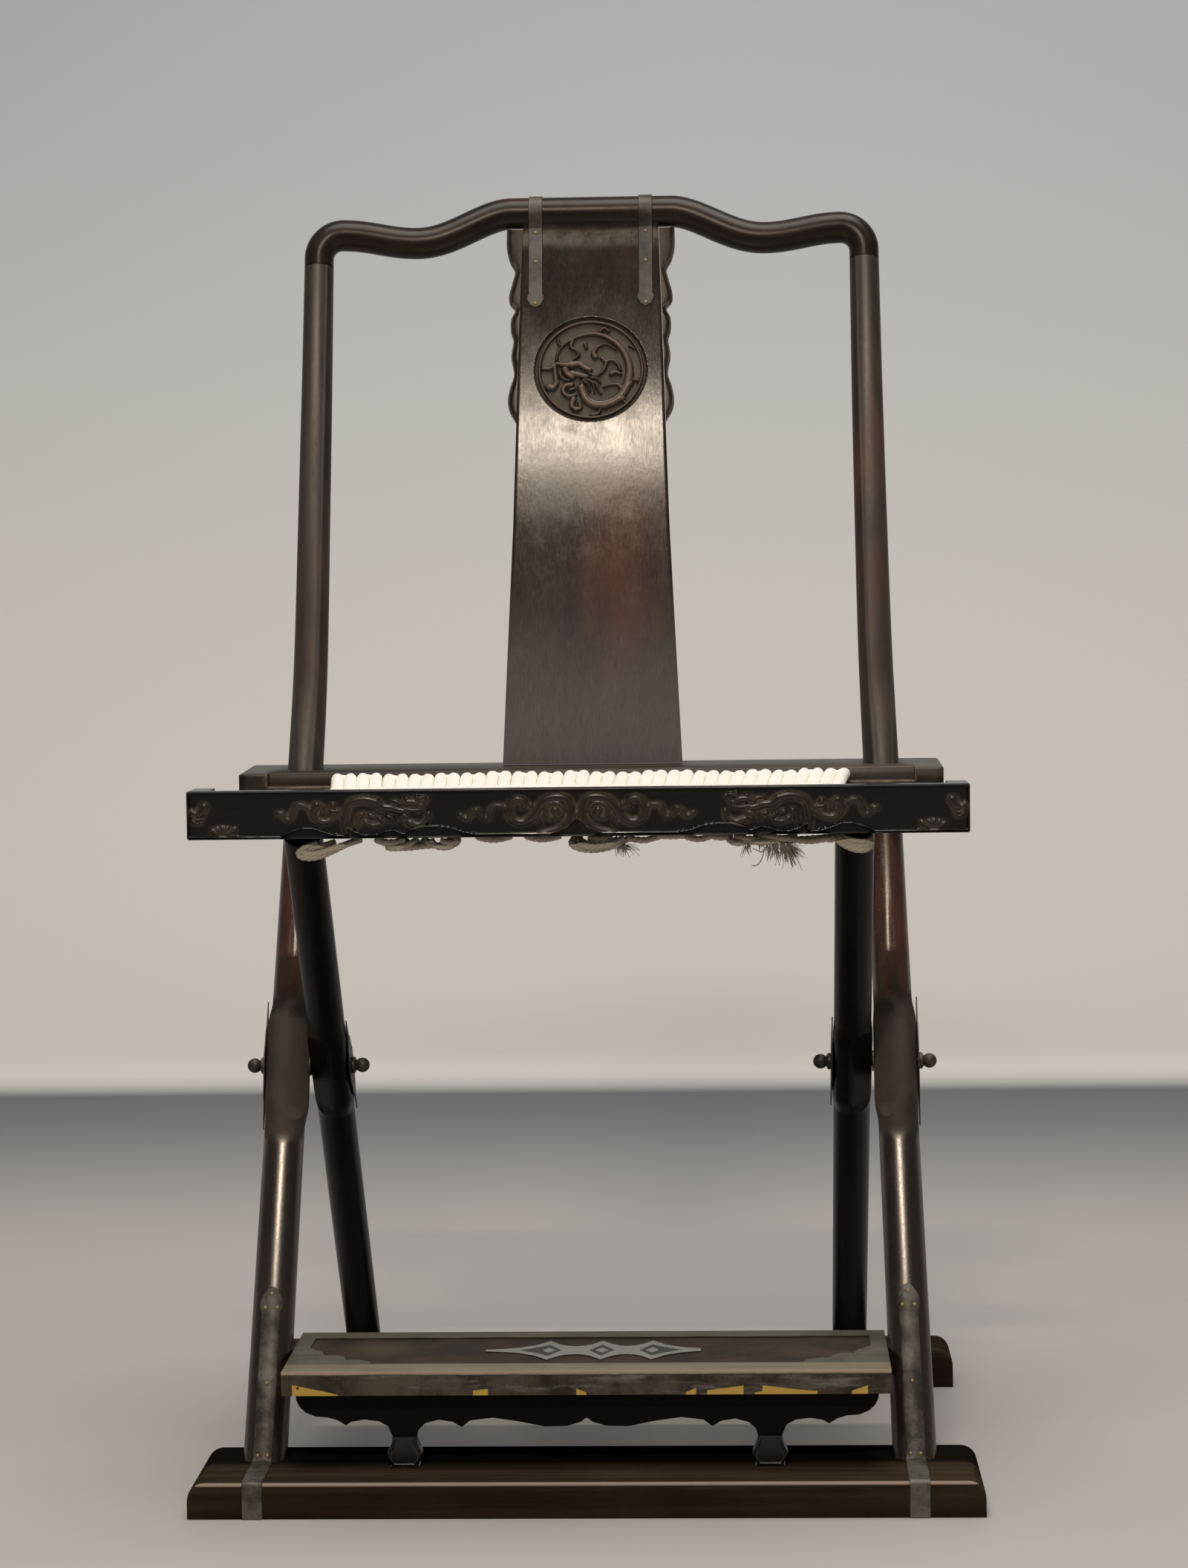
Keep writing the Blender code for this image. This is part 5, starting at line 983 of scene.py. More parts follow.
waves = through(STRIP_WAVES, 12)
strip_z = STRIP_TOP - (STRIP_TOP - STRIP_BOTTOM) * waves[:, 0]
strip_low, strip_high = splat_shape(STRIP_BOTTOM)[0], splat_shape(STRIP_TOP)[0]
strip_lean = math.atan2(strip_high - strip_low, STRIP_TOP - STRIP_BOTTOM)
strip_y = strip_low + (strip_z - STRIP_BOTTOM) * math.tan(strip_lean)
strip_inner = splat_shape(strip_z)[1] + STRIP_GAP
strip_outer = strip_inner + STRIP_REACH * np.clip(waves[:, 1], 0.04, 1)
width = strip_outer - strip_inner
inset = np.minimum(STRIP_RIM / width, 0.45)
strip_wood = wood("strip_wood", (1, 1, 0.04), brown=(0.034, 0.023, 0.017), gloss=0.27, dust=0.20)
thick = STRIP_HALF_THICK
hollow = np.minimum(1, width / (2.5 * STRIP_RIM)) * STRIP_HOLLOW
# Round each row: share of the strip's width, and depth in front of its middle plane
shares = np.stack(np.broadcast_arrays(0, 1 - 1.9 * inset, 1 - 1.4 * inset, 1 - inset, 1 - 0.25 * inset, 1, 1,
                                      1 - 0.25 * inset, 0), 1)
depth = np.stack(np.broadcast_arrays(thick - hollow, thick - hollow, thick - hollow * 0.75, thick, thick,
                                     thick - STRIP_ROUND, STRIP_ROUND - thick, -thick, -thick), 1)
for word, side in SIDES:
    grid = xyz(side * (strip_inner[:, None] + width[:, None] * shares),
               strip_y[:, None] - depth * math.cos(strip_lean), strip_z[:, None] + depth * math.sin(strip_lean))
    strip = skin("side_strip_" + word + "_piece", grid, middles(grid), sharp=50)
    fit(strip, strip_wood, "back_frame", "dark_wood", "side_strip_" + word)


# Straps: thin sheet metal, dulled to a greenish grey brown, riveted over the crest and down the
# splat, and up each leg's front from the floor rail's face, with a wide head.
SHOWING_BRASS = (0.44, 0.31, 0.13)


def tarnished(name, deep, pale, spots=None, metal=0.7):
    """Old sheet metal: cloudy tarnish, scratches, brighter high spots and dark pits."""
    start, place, settle = finish(name)
    cloud = place.noise(26, 6, 0.66)
    speckle = place.noise(260, 5, 0.7)
    scratch = place.noise(420, 3, 0.6, (1, 1, 0.06))
    colour = start.mix(cloud.ease(0.36, 0.66), deep, pale)
    colour = start.mix(speckle.ease(0.56, 0.72) * 0.7, colour, (0.022, 0.019, 0.016))
    colour = start.mix(scratch.ease(0.62, 0.8) * 0.4, colour, tuple(1.6 * share for share in pale))
    roughness = 0.36 + cloud * 0.22 + speckle * 0.1
    if spots:
        bright = spots(place)
        colour = start.mix(bright, colour, SHOWING_BRASS)
        roughness = roughness + bright * -0.08
    return settle({"Base Color": colour, "Roughness": roughness, "Metallic": metal},
                  cloud * 0.5 + speckle * 0.5, 0.0004)


def rivet_spots(place):
    """The rivet heads, which stay brighter than the strap."""
    return place.mark("head") * 0.55


def leg_strap_spots(place):
    """The rivet heads and a few small places where the brass shows."""
    return (place.mark("head") * 0.8).most(place.noise(60, 2, 0.5).ease(0.70, 0.76) * 0.5)


CREST_STRAP_X = 0.0467
CREST_STRAP_TIP = 0.9306
CREST_STRAP_JOINT = 0.9990
# Half width against the distance from a tip: an ogee point, a swelling, and then the band
CREST_STRAP_OUTLINE = ((0, 0.0011, 0.0028, 0.0046, 0.0072, 0.0100, 0.0125),
                       (0.0002, 0.0020, 0.0050, 0.0056, 0.0074, 0.0072, 0.0060))
# Rivets: distance from the tip and across
CREST_RIVETS = ((0.0034, 0.0), (0.0410, 0.0), (0.0676, 0.0))
RIVET_RADIUS = 0.0014
RIVET_RISE = 0.0008
STRAP_THICK = 0.0009
STRAP_EDGE = 0.0004


def crest_strap_line():
    """y and z along the middle of the metal: up the splat's face, over the crest as a part of a circle,
    and down the splat's back."""
    mid = STRAP_THICK / 2
    around = CREST_RADIUS + 0.0002 + mid
    angle = np.radians(np.linspace(58, 302, 41))
    over = np.column_stack([CREST_Y - around * np.sin(angle), CREST_HEIGHT - around * np.cos(angle)])
    z = np.linspace(CREST_STRAP_TIP, CREST_STRAP_JOINT, 12)
    y, _, lean = splat_shape(z)
    reach = (SPLAT_HALF_THICK + mid + 0.0001) / np.cos(lean)
    return np.concatenate([np.column_stack([y - reach, z]), over, np.column_stack([y + reach, z])[::-1]])


def strap_section(down, half, rivets, columns):
    """For each row of a strap, so far down from its tip and so wide: places across it, heights above the
    metal's middle and rivet heads. The outer face has rounded edges and low heads; the inner face is plain."""
    share = np.concatenate([np.linspace(-1, 1, columns), [1, 0.5, 0, -0.5, -1]])
    across = half[:, None] * share
    outer = np.arange(len(share)) < columns
    away = np.min([np.hypot(across - aside, (down - far)[:, None]) for far, aside in rivets], 0)
    head = np.clip(1 - (away / RIVET_RADIUS) ** 2, 0, 1) ** 0.5 * outer
    edge = np.clip((1 - np.abs(share)) * half[:, None] / STRAP_EDGE, 0, 1) ** 0.5
    return across, np.where(outer, STRAP_THICK * (edge - 0.5) + RIVET_RISE * head, -STRAP_THICK / 2), head


def strap(name, x, line, height, head):
    """A strap whose rows follow a line of y and z; each column stands off it squarely by its height."""
    heading = unit(np.gradient(line, axis=0))
    outward = np.column_stack([-heading[:, 1], heading[:, 0]])
    place = line[:, None] + outward[:, None] * height[..., None]
    grid = xyz(x, place[..., 0], place[..., 1])
    return skin(name, grid, middles(grid), sharp=50, head=np.minimum(1, head * 2))


def crest_strap(name, x):
    """A strap along the crest strap's line, with a pointed tip at each end and rivets in front."""
    line = crest_strap_line()
    run = distances(line)
    stops = np.unique(np.concatenate([np.linspace(0, 0.075, 190), np.linspace(0.075, run[-1] - 0.014, 60),
                                      np.linspace(run[-1] - 0.014, run[-1], 36)]))
    half = np.interp(np.minimum(stops, run[-1] - stops), *CREST_STRAP_OUTLINE)
    across, height, head = strap_section(stops, half, CREST_RIVETS, 27)
    return strap(name, x + across, points_at(stops, run, line), height, head)


LEG_STRAP_FOOT = 0.0006
LEG_STRAP_FACE = -0.2458
LEG_STRAP_FLOOR = 0.0285
# Half width against the distance from the top: an ogee point, a wide head, and then the band
LEG_STRAP_OUTLINE = ((0, 0.0014, 0.0040, 0.0080, 0.0120, 0.0165, 0.0190, 0.0210),
                     (0.0003, 0.0030, 0.0055, 0.0080, 0.0094, 0.0096, 0.0086, 0.0078))
# Rivets: distance from the top and across
LEG_RIVETS = ((0.0060, 0.0), (0.0170, 0.0052), (0.0170, -0.0052), (0.0770, 0.0), (0.1330, 0.0042),
              (0.1330, -0.0042))


def leg_strap(name, side):
    """Rows up the rail's face, back along its top and up the leg's front, where the metal is wrapped round
    the leg: the sides fall back by R (1 - cos(across / R))."""
    foot, crossing = (np.array(station) for station in POST_STATIONS[:2])
    z = np.linspace(0.0214, 0.1462, 40)
    x, y, _, radius = (foot + (crossing - foot) * ((z - foot[2]) / (crossing[2] - foot[2]))[:, None]).T
    lean = math.atan2(crossing[1] - foot[1], crossing[2] - foot[2])
    radius = radius + 0.0006
    leg = np.column_stack([x, y - radius * math.cos(lean), z + radius * math.sin(lean)])
    face, floor = LEG_STRAP_FACE, LEG_STRAP_FLOOR
    start = [(x[0], face, LEG_STRAP_FOOT), (x[0], face, floor - 0.0024), (x[0], face + 0.0008, floor - 0.0008),
             (x[0], face + 0.0026, floor)]
    line = np.concatenate([start, leg])
    run = distances(line)
    stops = np.concatenate([np.linspace(0, run[4], 60)[:-1], np.linspace(run[4], run[-1], 210)])
    line = points_at(stops, run, line)
    wrapped = smooth_step(stops, run[4] - 0.001, run[4] + 0.004)[:, None]
    from_top = run[-1] - stops
    across, height, head = strap_section(from_top, np.interp(from_top, *LEG_STRAP_OUTLINE), LEG_RIVETS, 35)
    radius = radius.mean()
    fall = radius * (1 - np.cos(across / radius)) * wrapped
    aside = across + (radius * np.sin(across / radius) - across) * wrapped
    return strap(name, side * line[:, :1] + aside, line[:, 1:], height - fall, head)


strap_metal = tarnished("crest_strap_metal", (0.018, 0.0155, 0.012), (0.085, 0.074, 0.056), rivet_spots, 0.35)
leg_metal = tarnished("leg_strap_metal", (0.040, 0.034, 0.026), (0.185, 0.172, 0.145), leg_strap_spots, 0.5)
for word, side in SIDES:
    fit(crest_strap("crest_strap_" + word + "_piece", side * CREST_STRAP_X), strap_metal, "back_frame",
        "tarnished_metal", "crest_strap_" + word)
    fit(leg_strap("leg_strap_" + word + "_piece", side), leg_metal, "back_frame", "tarnished_metal",
        "leg_strap_" + word)


# Pivots: on each side a bolt with a turned knob and a nut with another, a washer between the legs,
# and a long cusped plate under each knob.
BOLT_RADIUS = 0.0038
KNOB_RADIUS = 0.0059
COLLAR_RADIUS = 0.0066
COLLAR_THICK = 0.0022
PLATE_ROOM = 0.0016
KNOB_SEAT_OUTER = BACK_PIVOT_X + BACK_PAD_HALF + PLATE_ROOM
KNOB_SEAT_INNER = FRONT_PIVOT_X - FRONT_PAD_HALF - PLATE_ROOM
NUT_BORE = 0.0041
NUT_ROOM = 0.0003
bolt_metal = tarnished("bolt_metal", (0.040, 0.034, 0.026), (0.105, 0.090, 0.066))
plate_metal = tarnished("plate_metal", (0.028, 0.025, 0.021), (0.080, 0.072, 0.058))


def turned(name, profile, axis_x, columns=40):
    """A profile of radius and distance along x, carried round the pivot's axis."""
    radius, along = np.array(profile).T
    turn = np.linspace(0, 2 * math.pi, columns, endpoint=False)
    return skin(name, xyz(axis_x * along[:, None], PIVOT[0] + radius[:, None] * np.cos(turn),
                          PIVOT[1] + radius[:, None] * np.sin(turn)), sharp=45)


swell = np.radians(np.linspace(0, 138, 14))
knob = np.column_stack([KNOB_RADIUS * np.sin(swell), KNOB_RADIUS * (1 + np.cos(swell))])
for word, side in SIDES:
    tail = KNOB_SEAT_INNER - COLLAR_THICK - KNOB_RADIUS
    bolt = [(radius, KNOB_SEAT_OUTER + COLLAR_THICK + along) for radius, along in knob]
    bolt += [(COLLAR_RADIUS, KNOB_SEAT_OUTER + COLLAR_THICK), (COLLAR_RADIUS, KNOB_SEAT_OUTER),
             (BOLT_RADIUS, KNOB_SEAT_OUTER), (BOLT_RADIUS, tail), (0, tail)]
    fit(turned("pivot_bolt_" + word + "_piece", bolt, side), bolt_metal, "back_frame", "dark_bronze",
        "pivot_bolt_" + word)
    nut = [(0, tail - NUT_ROOM), (NUT_BORE, tail - NUT_ROOM), (NUT_BORE, KNOB_SEAT_INNER),
           (COLLAR_RADIUS, KNOB_SEAT_INNER), (COLLAR_RADIUS, KNOB_SEAT_INNER - COLLAR_THICK)]
    nut += [(radius, KNOB_SEAT_INNER - COLLAR_THICK - along) for radius, along in knob[::-1]]
    fit(turned("pivot_nut_" + word + "_piece", nut, side), bolt_metal, "front_frame", "dark_bronze",
        "pivot_nut_" + word)
    for name, body in (("pivot_plate_outer_", "back_frame"), ("pivot_plate_inner_", "front_frame")):
        fit(dressed(name + word, bevel=0.0003), plate_metal, body, "dark_bronze", name + word)
    fit(dressed("pivot_washer_" + word), bolt_metal, "back_frame", "dark_bronze", "pivot_washer_" + word)


# Seat cord: one soft cotton rope laced to and fro between the two seat rails, twenty times there and
# back. Its runs lie in the rebates and sag a little between the rails.
CORD_RADIUS = 0.0053
CORD_REAR_HALF, CORD_FRONT_HALF = 0.2064, 0.1830
CORD_RUNS = 40
CORD_SAG = 0.010
CORD_FRONT_HEIGHT, CORD_REAR_HEIGHT = 0.5429, 0.5402
CORD_FRONT, CORD_REAR = -0.20459, 0.02720
CORD_SPAN = (-0.186, 0.022)
CORD_LAY = 0.026
CORD_GROOVE = 0.14
CORD_TURN_REACH, CORD_TURN_DIP = 0.8, 0.0018


def rope(name, path, radius, upward, lay=CORD_LAY, columns=18, groove=0.24):
    """Three strands twisted into one rope: a tube whose section has three lobes, |cos(3/2 angle)|, turned
    once for each lay along the path. upward is any way that the path never takes."""
    heading = unit(np.gradient(path, axis=0))
    side = unit(np.cross(heading, upward))
    over = np.cross(side, heading)
    turn = np.linspace(0, 2 * math.pi, columns, endpoint=False)
    twist = 2 * math.pi * distances(path)[:, None] / lay
    lobes = radius * (1 - groove + groove * np.abs(np.cos(1.5 * (turn - twist))))
    return skin(name, swept(path, side, over, lobes * np.cos(turn), lobes * np.sin(turn)), path[[0, -1]],
                sharp=180, crown=(lobes / radius - 1 + groove) / groove)


def cord_path(seed=3):
    """Each run is a line that sags between the rails as sine squared, and each end is a half turn. The runs
    lie closer at the front. Each turn at the back reaches and lies a little differently from the next."""
    draw = np.random.default_rng(seed)
    share = np.linspace(0, 1, 82)[:, None]
    angle = np.linspace(0, math.pi, 10)[1:-1, None]
    rear, front = (np.linspace(-half, half, CORD_RUNS) for half in (CORD_REAR_HALF, CORD_FRONT_HALF))
    reach = np.clip(np.repeat(draw.normal(0, 0.0012, CORD_RUNS), 2)[:CORD_RUNS + 1], -0.0025, 0.0006)
    lift = np.clip(np.repeat(draw.normal(0, 0.0009, CORD_RUNS), 2)[:CORD_RUNS + 1], -0.0006, 0.0016)
    parts = []
    for run in range(CORD_RUNS):
        back = share if run % 2 == 0 else 1 - share
        x = front[run] + (rear[run] - front[run]) * back
        y = CORD_FRONT + (CORD_REAR + reach[run] - CORD_FRONT) * back
        z = (CORD_FRONT_HEIGHT + (CORD_REAR_HEIGHT - CORD_FRONT_HEIGHT) * back
             + lift[run] * smooth_step(back, 0.7, 1))
        free = np.clip((y - CORD_SPAN[0]) / (CORD_SPAN[1] - CORD_SPAN[0]), 0, 1)
        parts.append(np.hstack([x, y, z - CORD_SAG * np.sin(math.pi * free) ** 2]))
        if run < CORD_RUNS - 1:
            lane, way = (rear, 1) if run % 2 == 0 else (front, -1)
            half = (lane[run + 1] - lane[run]) / 2
            dip = CORD_TURN_DIP if way > 0 else 0
            parts.append(np.hstack([x[-1] + half * (1 - np.cos(angle)),
                                    y[-1] + way * half * np.sin(angle) * CORD_TURN_REACH,
                                    z[-1] - dip * np.sin(angle)]))
    return np.concatenate(parts)


def cotton(name, pale, soiled, dark):
    """Soft cotton: pale on the crowns of the strands and, as painted shade, a share as light in the grooves,
    with fine fibres.
    """
    start, place, settle = finish(name)
    crown = start.mark("crown")
    fibre = place.noise(900, 4, 0.6)
    soil = place.noise(22, 5, 0.6)
    # Painted shade: the grooves between the strands are the share dark as light as the crowns
    colour = start.mix(crown.ease(0.0, 0.6), tuple(dark * share for share in pale), pale)
    colour = start.mix(soil.ease(0.50, 0.80) * 0.6, colour, soiled)
    colour = start.mix(fibre.ease(0.5, 0.8) * 0.15, colour, tuple(0.8 * share for share in pale))
    return settle({"Base Color": colour, "Roughness": 0.92, "Sheen Weight": 0.25, "Sheen Roughness": 0.5},
                  fibre, 0.0005)


seat_cotton = cotton("seat_cotton", (0.97, 0.93, 0.84), (0.88, 0.82, 0.70), 0.93)
cord = rope("seat_cord_piece", cord_path(), CORD_RADIUS, (0, 0, 1), groove=CORD_GROOVE)
cord.data.materials.append(seat_cotton)
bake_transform(cord)
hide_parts("seat_cord")


# Cord's tail: thinner cord tied along the underside of the front seat rail, with a bight hanging before
# the head of each front leg, two knots, slack between the ties, and frayed ends.
TAIL_RADIUS, TAIL_LAY = 0.0026, 0.013
TAIL_Y = -0.206
MILLIMETRE = 0.001
tail_cotton = cotton("tail_cotton", (0.46, 0.40, 0.31), (0.26, 0.22, 0.165), 0.5)
# Points in millimetres: across, back from the rail's middle line, and up
TAIL_ROPES = (
    # the left bight: three strands before the leg
    ((-164, 2, 509), (-170, -4, 508), (-178, -9, 504.5), (-188, -12, 500), (-198, -13.5, 497.2),
     (-206, -13, 497.4), (-209.5, -11, 499.6), (-208, -9, 502.2), (-200, -10.5, 503.6), (-191, -9, 505.6),
     (-183, -4, 508)),
    ((-166, -2, 508.6), (-176, -11, 506.0), (-187, -13.6, 502.4), (-197, -14.2, 499.9), (-204, -13.6, 500.2),
     (-207.4, -12.6, 502.4), (-203, -11.4, 505.2), (-196, -9, 507.6)),
    # two knots and what joins them
    ((-152, 2, 508.5), (-147, -5, 507.5), (-140, -8, 505.2), (-133, -6, 503.6), (-128, -1, 505.4),
     (-132, 5, 508.2), (-140, 4, 506.0), (-143, -4, 503.6), (-136, -9, 503.4), (-127, -7, 506.4),
     (-121, -1, 508.6)),
    ((-150, -3, 509), (-144, -8, 507.8), (-137, -9, 507.9), (-130, -7, 509.2)),
    ((-139, -2, 503.6), (-133, -4, 503.0), (-125, -5, 503.4), (-116, -5, 504.4), (-109, -4, 504.6)),
    ((-133, 0, 505.6), (-125, -1, 505.6), (-116, -2, 506.8), (-108, -1, 507.4)),
    ((-116, 2, 508.8), (-112, -6, 507.0), (-105, -9, 504.2), (-98, -7, 503.6), (-92, -2, 506.0),
     (-91, 4, 508.6), (-98, 5, 507.4), (-104, -2, 504.4), (-110, -7, 506.2), (-108, -8, 508.8)),
    ((-103, -8, 508.6), (-96, -9, 507.0), (-91, -6, 508.4)),
    ((-106, -6, 503.9), (-99, -9, 503.5), (-94, -8, 505.2)),
    # slack between ties
    ((-76, 3, 510.2), (-70, -4, 509.2), (-64, -6, 508.6), (-58, -4, 509.0), (-51, 3, 510.2)),
    ((-39, 3, 510.2), (-33, -4, 509.2), (-27, -6, 508.6), (-21, -4, 509.0), (-14, 3, 510.2)),
    # the hanging loop in the middle: three strands drawn together to the right
    ((2, 4, 510), (-3, -3, 508.4), (-4.6, -8, 505.2), (0, -10, 502.2), (9, -10, 500.6), (19, -9, 501.2),
     (29, -7, 504.0), (38, -3, 508.4)),
    ((1, 0, 507.6), (6, -7, 505.6), (14, -8, 505.4), (22, -8, 506.2), (30, -6, 508.2)),
    ((-2, -6, 505.0), (4, -12, 503.9), (12, -12, 502.6), (20, -11, 503.4), (28, -9, 506.0), (34, -5, 508.8)),
    ((8, -6, 509.2), (16, -8, 508.4), (26, -6, 509.2)),
    # along the rail to the right
    ((38, -4, 508.6), (44, -6, 507.6), (51, -6, 507.2), (58, -3, 508.8), (64, 2, 510)),
    ((60, -3, 510.2), (70, -5, 509.8), (80, -3, 510.2)),
    ((79, 1, 510.2), (84, -5, 508.6), (91, -7, 507.6), (97, -5, 508.8), (102, 1, 510.2)),
    ((99, -1, 510), (104, -5, 508.8), (110, -5, 508.6), (115, -1, 509.6)),
    ((112, 0, 509), (114, -6, 506.4), (119, -8, 504.4), (124, -6, 505.4), (124, 0, 508.4), (118, 2, 509)),
    ((117, -5, 508.6), (128, -7, 507.4), (142, -7, 506.4), (156, -6, 506.2), (170, -6, 506.8), (182, -4, 507.4),
     (191, 0, 508.2)),
    ((132, -3, 508.8), (144, -8, 508.6), (157, -9, 507.2), (168, -8, 505.8), (176, -7, 505.4), (185, -6, 506.6),
     (191, -4, 505.8)),
    ((126, -6, 506.0), (136, -9, 505.0), (146, -9, 505.6), (154, -8, 507.6), (164, -5, 509)),
    # the right bight: three strands before the leg
    ((190, 0, 509.4), (194, -8, 506.2), (200, -13, 502.2), (207, -15, 499.4), (214, -14, 499.0),
     (219, -9, 501.2)),
    ((192, -1, 510), (197, -9, 506.6), (203, -13, 503.4), (210, -14.6, 501.6), (216, -12.6, 502.4),
     (220, -7, 504.0)),
    ((195, -2, 510), (200, -9, 507.6), (206, -12.4, 505.6), (213, -12.4, 504.4), (218.5, -8, 505.4)))
# Frayed ends: middle of the root, the way it hangs, number of threads and their length
TAIL_FRAYS = (((33, -6, 504), (0.50, -0.25, -0.80), 26, 8.0), ((36, -6, 503), (0.98, -0.15, -0.15), 14, 12.0),
              ((30, -7, 503), (-0.10, -0.25, -0.95), 12, 8.0),
              ((148, -8, 504.5), (-0.05, -0.25, -0.97), 46, 14.0),
              ((153, -8, 504), (0.35, -0.25, -0.90), 64, 15.5),
              ((157, -8, 504), (0.62, -0.25, -0.74), 56, 15.0),
              ((143, -8, 504), (-0.30, -0.25, -0.92), 14, 13.0),
              ((127, -7, 504), (0.05, -0.25, -0.97), 26, 8.5), ((136, -8, 505), (0.25, -0.2, -0.95), 12, 7.0))
LONG_THREAD = ((131, -9, 500.4), (135, -10, 498.6), (138, -10, 497.6), (139.4, -10, 500.0), (138.8, -10, 496.2),
               (137, -10, 491.4), (134, -10, 487.9), (130, -10, 487.6))
THREAD_RADIUS = 0.00036
THREAD_POINTS = 9
LONG_THREAD_RADIUS, LONG_THREAD_LAY = 0.0005, 0.004
THREAD_TOP = 0.5105


def tail_place(points):
    """Points of the tail's tables in the chair's frame."""
    return np.array(points) * MILLIMETRE + (0, TAIL_Y, 0)


def frayed(name, seed=5):
    """Loose threads that spread from each frayed end and curl: a bend that grows as the square of the
    distance from the root. Every thread is a thin tube with five sides."""
    draw = np.random.default_rng(seed)
    shape = bmesh.new()
    along = np.linspace(0, 1, THREAD_POINTS)[:, None]
    ring = np.linspace(0, 2 * math.pi, 6)[:5]
    for root, way, count, length in TAIL_FRAYS:
        for _ in range(count):
            heading = np.array(way) + draw.normal(0, 0.20, 3)
            heading /= np.linalg.norm(heading)
            curl = draw.normal(0, 0.35, 3) + (0, 0, -0.10)
            reach = length * MILLIMETRE * draw.uniform(0.45, 1.0)
            begin = tail_place(root) + draw.normal(0, 0.0011, 3)
            line = begin + heading * reach * along + curl * reach * along ** 2 * 0.6
            line[:, 2] = np.minimum(line[:, 2], THREAD_TOP)
            corners = line[:, None] + THREAD_RADIUS * (1 - 0.5 * along[:, :, None]) * np.stack(
                [np.cos(ring), np.sin(ring), 0.3 * np.cos(ring)], -1)
            verts = [[shape.verts.new(point) for point in row] for row in corners]
            for lower, upper in zip(verts, verts[1:]):
                for step in range(5):
                    shape.faces.new((lower[step], lower[(step + 1) % 5], upper[(step + 1) % 5], upper[step]))
            shape.faces.new(verts[0][::-1])
            shape.faces.new(verts[-1])
    bmesh.ops.recalc_face_normals(shape, faces=shape.faces)
    mesh = bpy.data.meshes.new(name)
    shape.to_mesh(mesh)
    shape.free()
    return stand(name, mesh, 180)


tail_pieces = [rope("cord_tail_" + str(number), through(tail_place(points), 9), TAIL_RADIUS, (0.12, 0.05, 1),
                    TAIL_LAY, 12) for number, points in enumerate(TAIL_ROPES)]
tail_pieces.append(rope("cord_long_thread", through(tail_place(LONG_THREAD), 8), LONG_THREAD_RADIUS,
                        (0.12, 1, 0.05), LONG_THREAD_LAY, 8))
tail_pieces.append(frayed("cord_threads"))
for piece in tail_pieces:
    fit(piece, tail_cotton, "front_frame", "cotton_cord")
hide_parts("seat_cord_lacing")


# Footrest: a board hung between the posts, sheathed round its edge and down its front in sheet metal
# with cloud-shaped inner corners, and with three linked lozenges of pale metal let into its middle.
FOOTREST_FACE = -0.210
FOOTREST_TOP = 0.104
FOOTREST_UNDER = 0.0859
INLAY_MIDDLE_Y = -0.13475
INLAY_LEFT, INLAY_RIGHT = -0.0810, 0.0870
LOZENGE_CENTRES = (-0.0315, 0.0098, 0.0490)
# Distance from a lozenge's centre and half width there: towards a tail and towards the next lozenge, for
# the outline and for the field of wood inside it
TAIL_SIDE = ((0, 0.0106, 0.0230, 0.0336, 0.0496), (0.0330, 0.0180, 0.0092, 0.0054, 0.0026))
LINK_SIDE = ((0, 0.0080, 0.0140, 0.0200), (0.0330, 0.0205, 0.0155, 0.0140))
TAIL_FIELD = ((0, 0.0080, 0.0230), (0.0200, 0.0110, 0))
LINK_FIELD = ((0, 0.0050, 0.0100), (0.0200, 0.0100, 0))
FLOWER_LENGTH, FLOWER_HALF = 0.0052, 0.0090
INLAY_TOP, INLAY_UNDER = 0.1037, 0.1032
INLAY_TIP = 0.0003
# Bare places on the front face: left and right end, and how far up they reach there
BRASS_PATCHES = ((-0.2235, -0.1885, 0.0086, 0.0006), (-0.0859, -0.0739, 0.0034, 0.0048),
                 (-0.0075, 0.0010, 0.0050, 0.0018), (0.0757, 0.0838, 0.0016, 0.0046),
                 (0.0917, 0.1197, 0.0030, 0.0066), (0.1277, 0.1350, 0.0012, 0.0026),
                 (0.1337, 0.1757, 0.0066, 0.0022), (0.2007, 0.2137, 0.0018, 0.0064))


def panel_wood():
    """The board's open wood, dry and dark, with dust along the grain and a yellow-green stain."""
    start, place, settle = finish("footrest_panel_wood")
    streaks = place.noise(420, 5, 0.65, (0.05, 1, 1))
    cloud = place.noise(19, 5, 0.65)
    stain = place.far_from((-0.165, -0.125, 0.103))
    colour = start.mix(cloud.ease(0.35, 0.65), (0.036, 0.026, 0.018), (0.088, 0.064, 0.044))
    colour = start.mix(streaks.ease(0.5, 0.8) * 0.45, colour, (0.14, 0.105, 0.075))
    colour = start.mix((stain + cloud * 0.05).ease(0.062, 0.030) * 0.5, colour, (0.16, 0.135, 0.06))
    return settle({"Base Color": colour, "Roughness": 0.5 + cloud * 0.2, "Specular IOR Level": 0.1}, streaks,
                  0.0003)


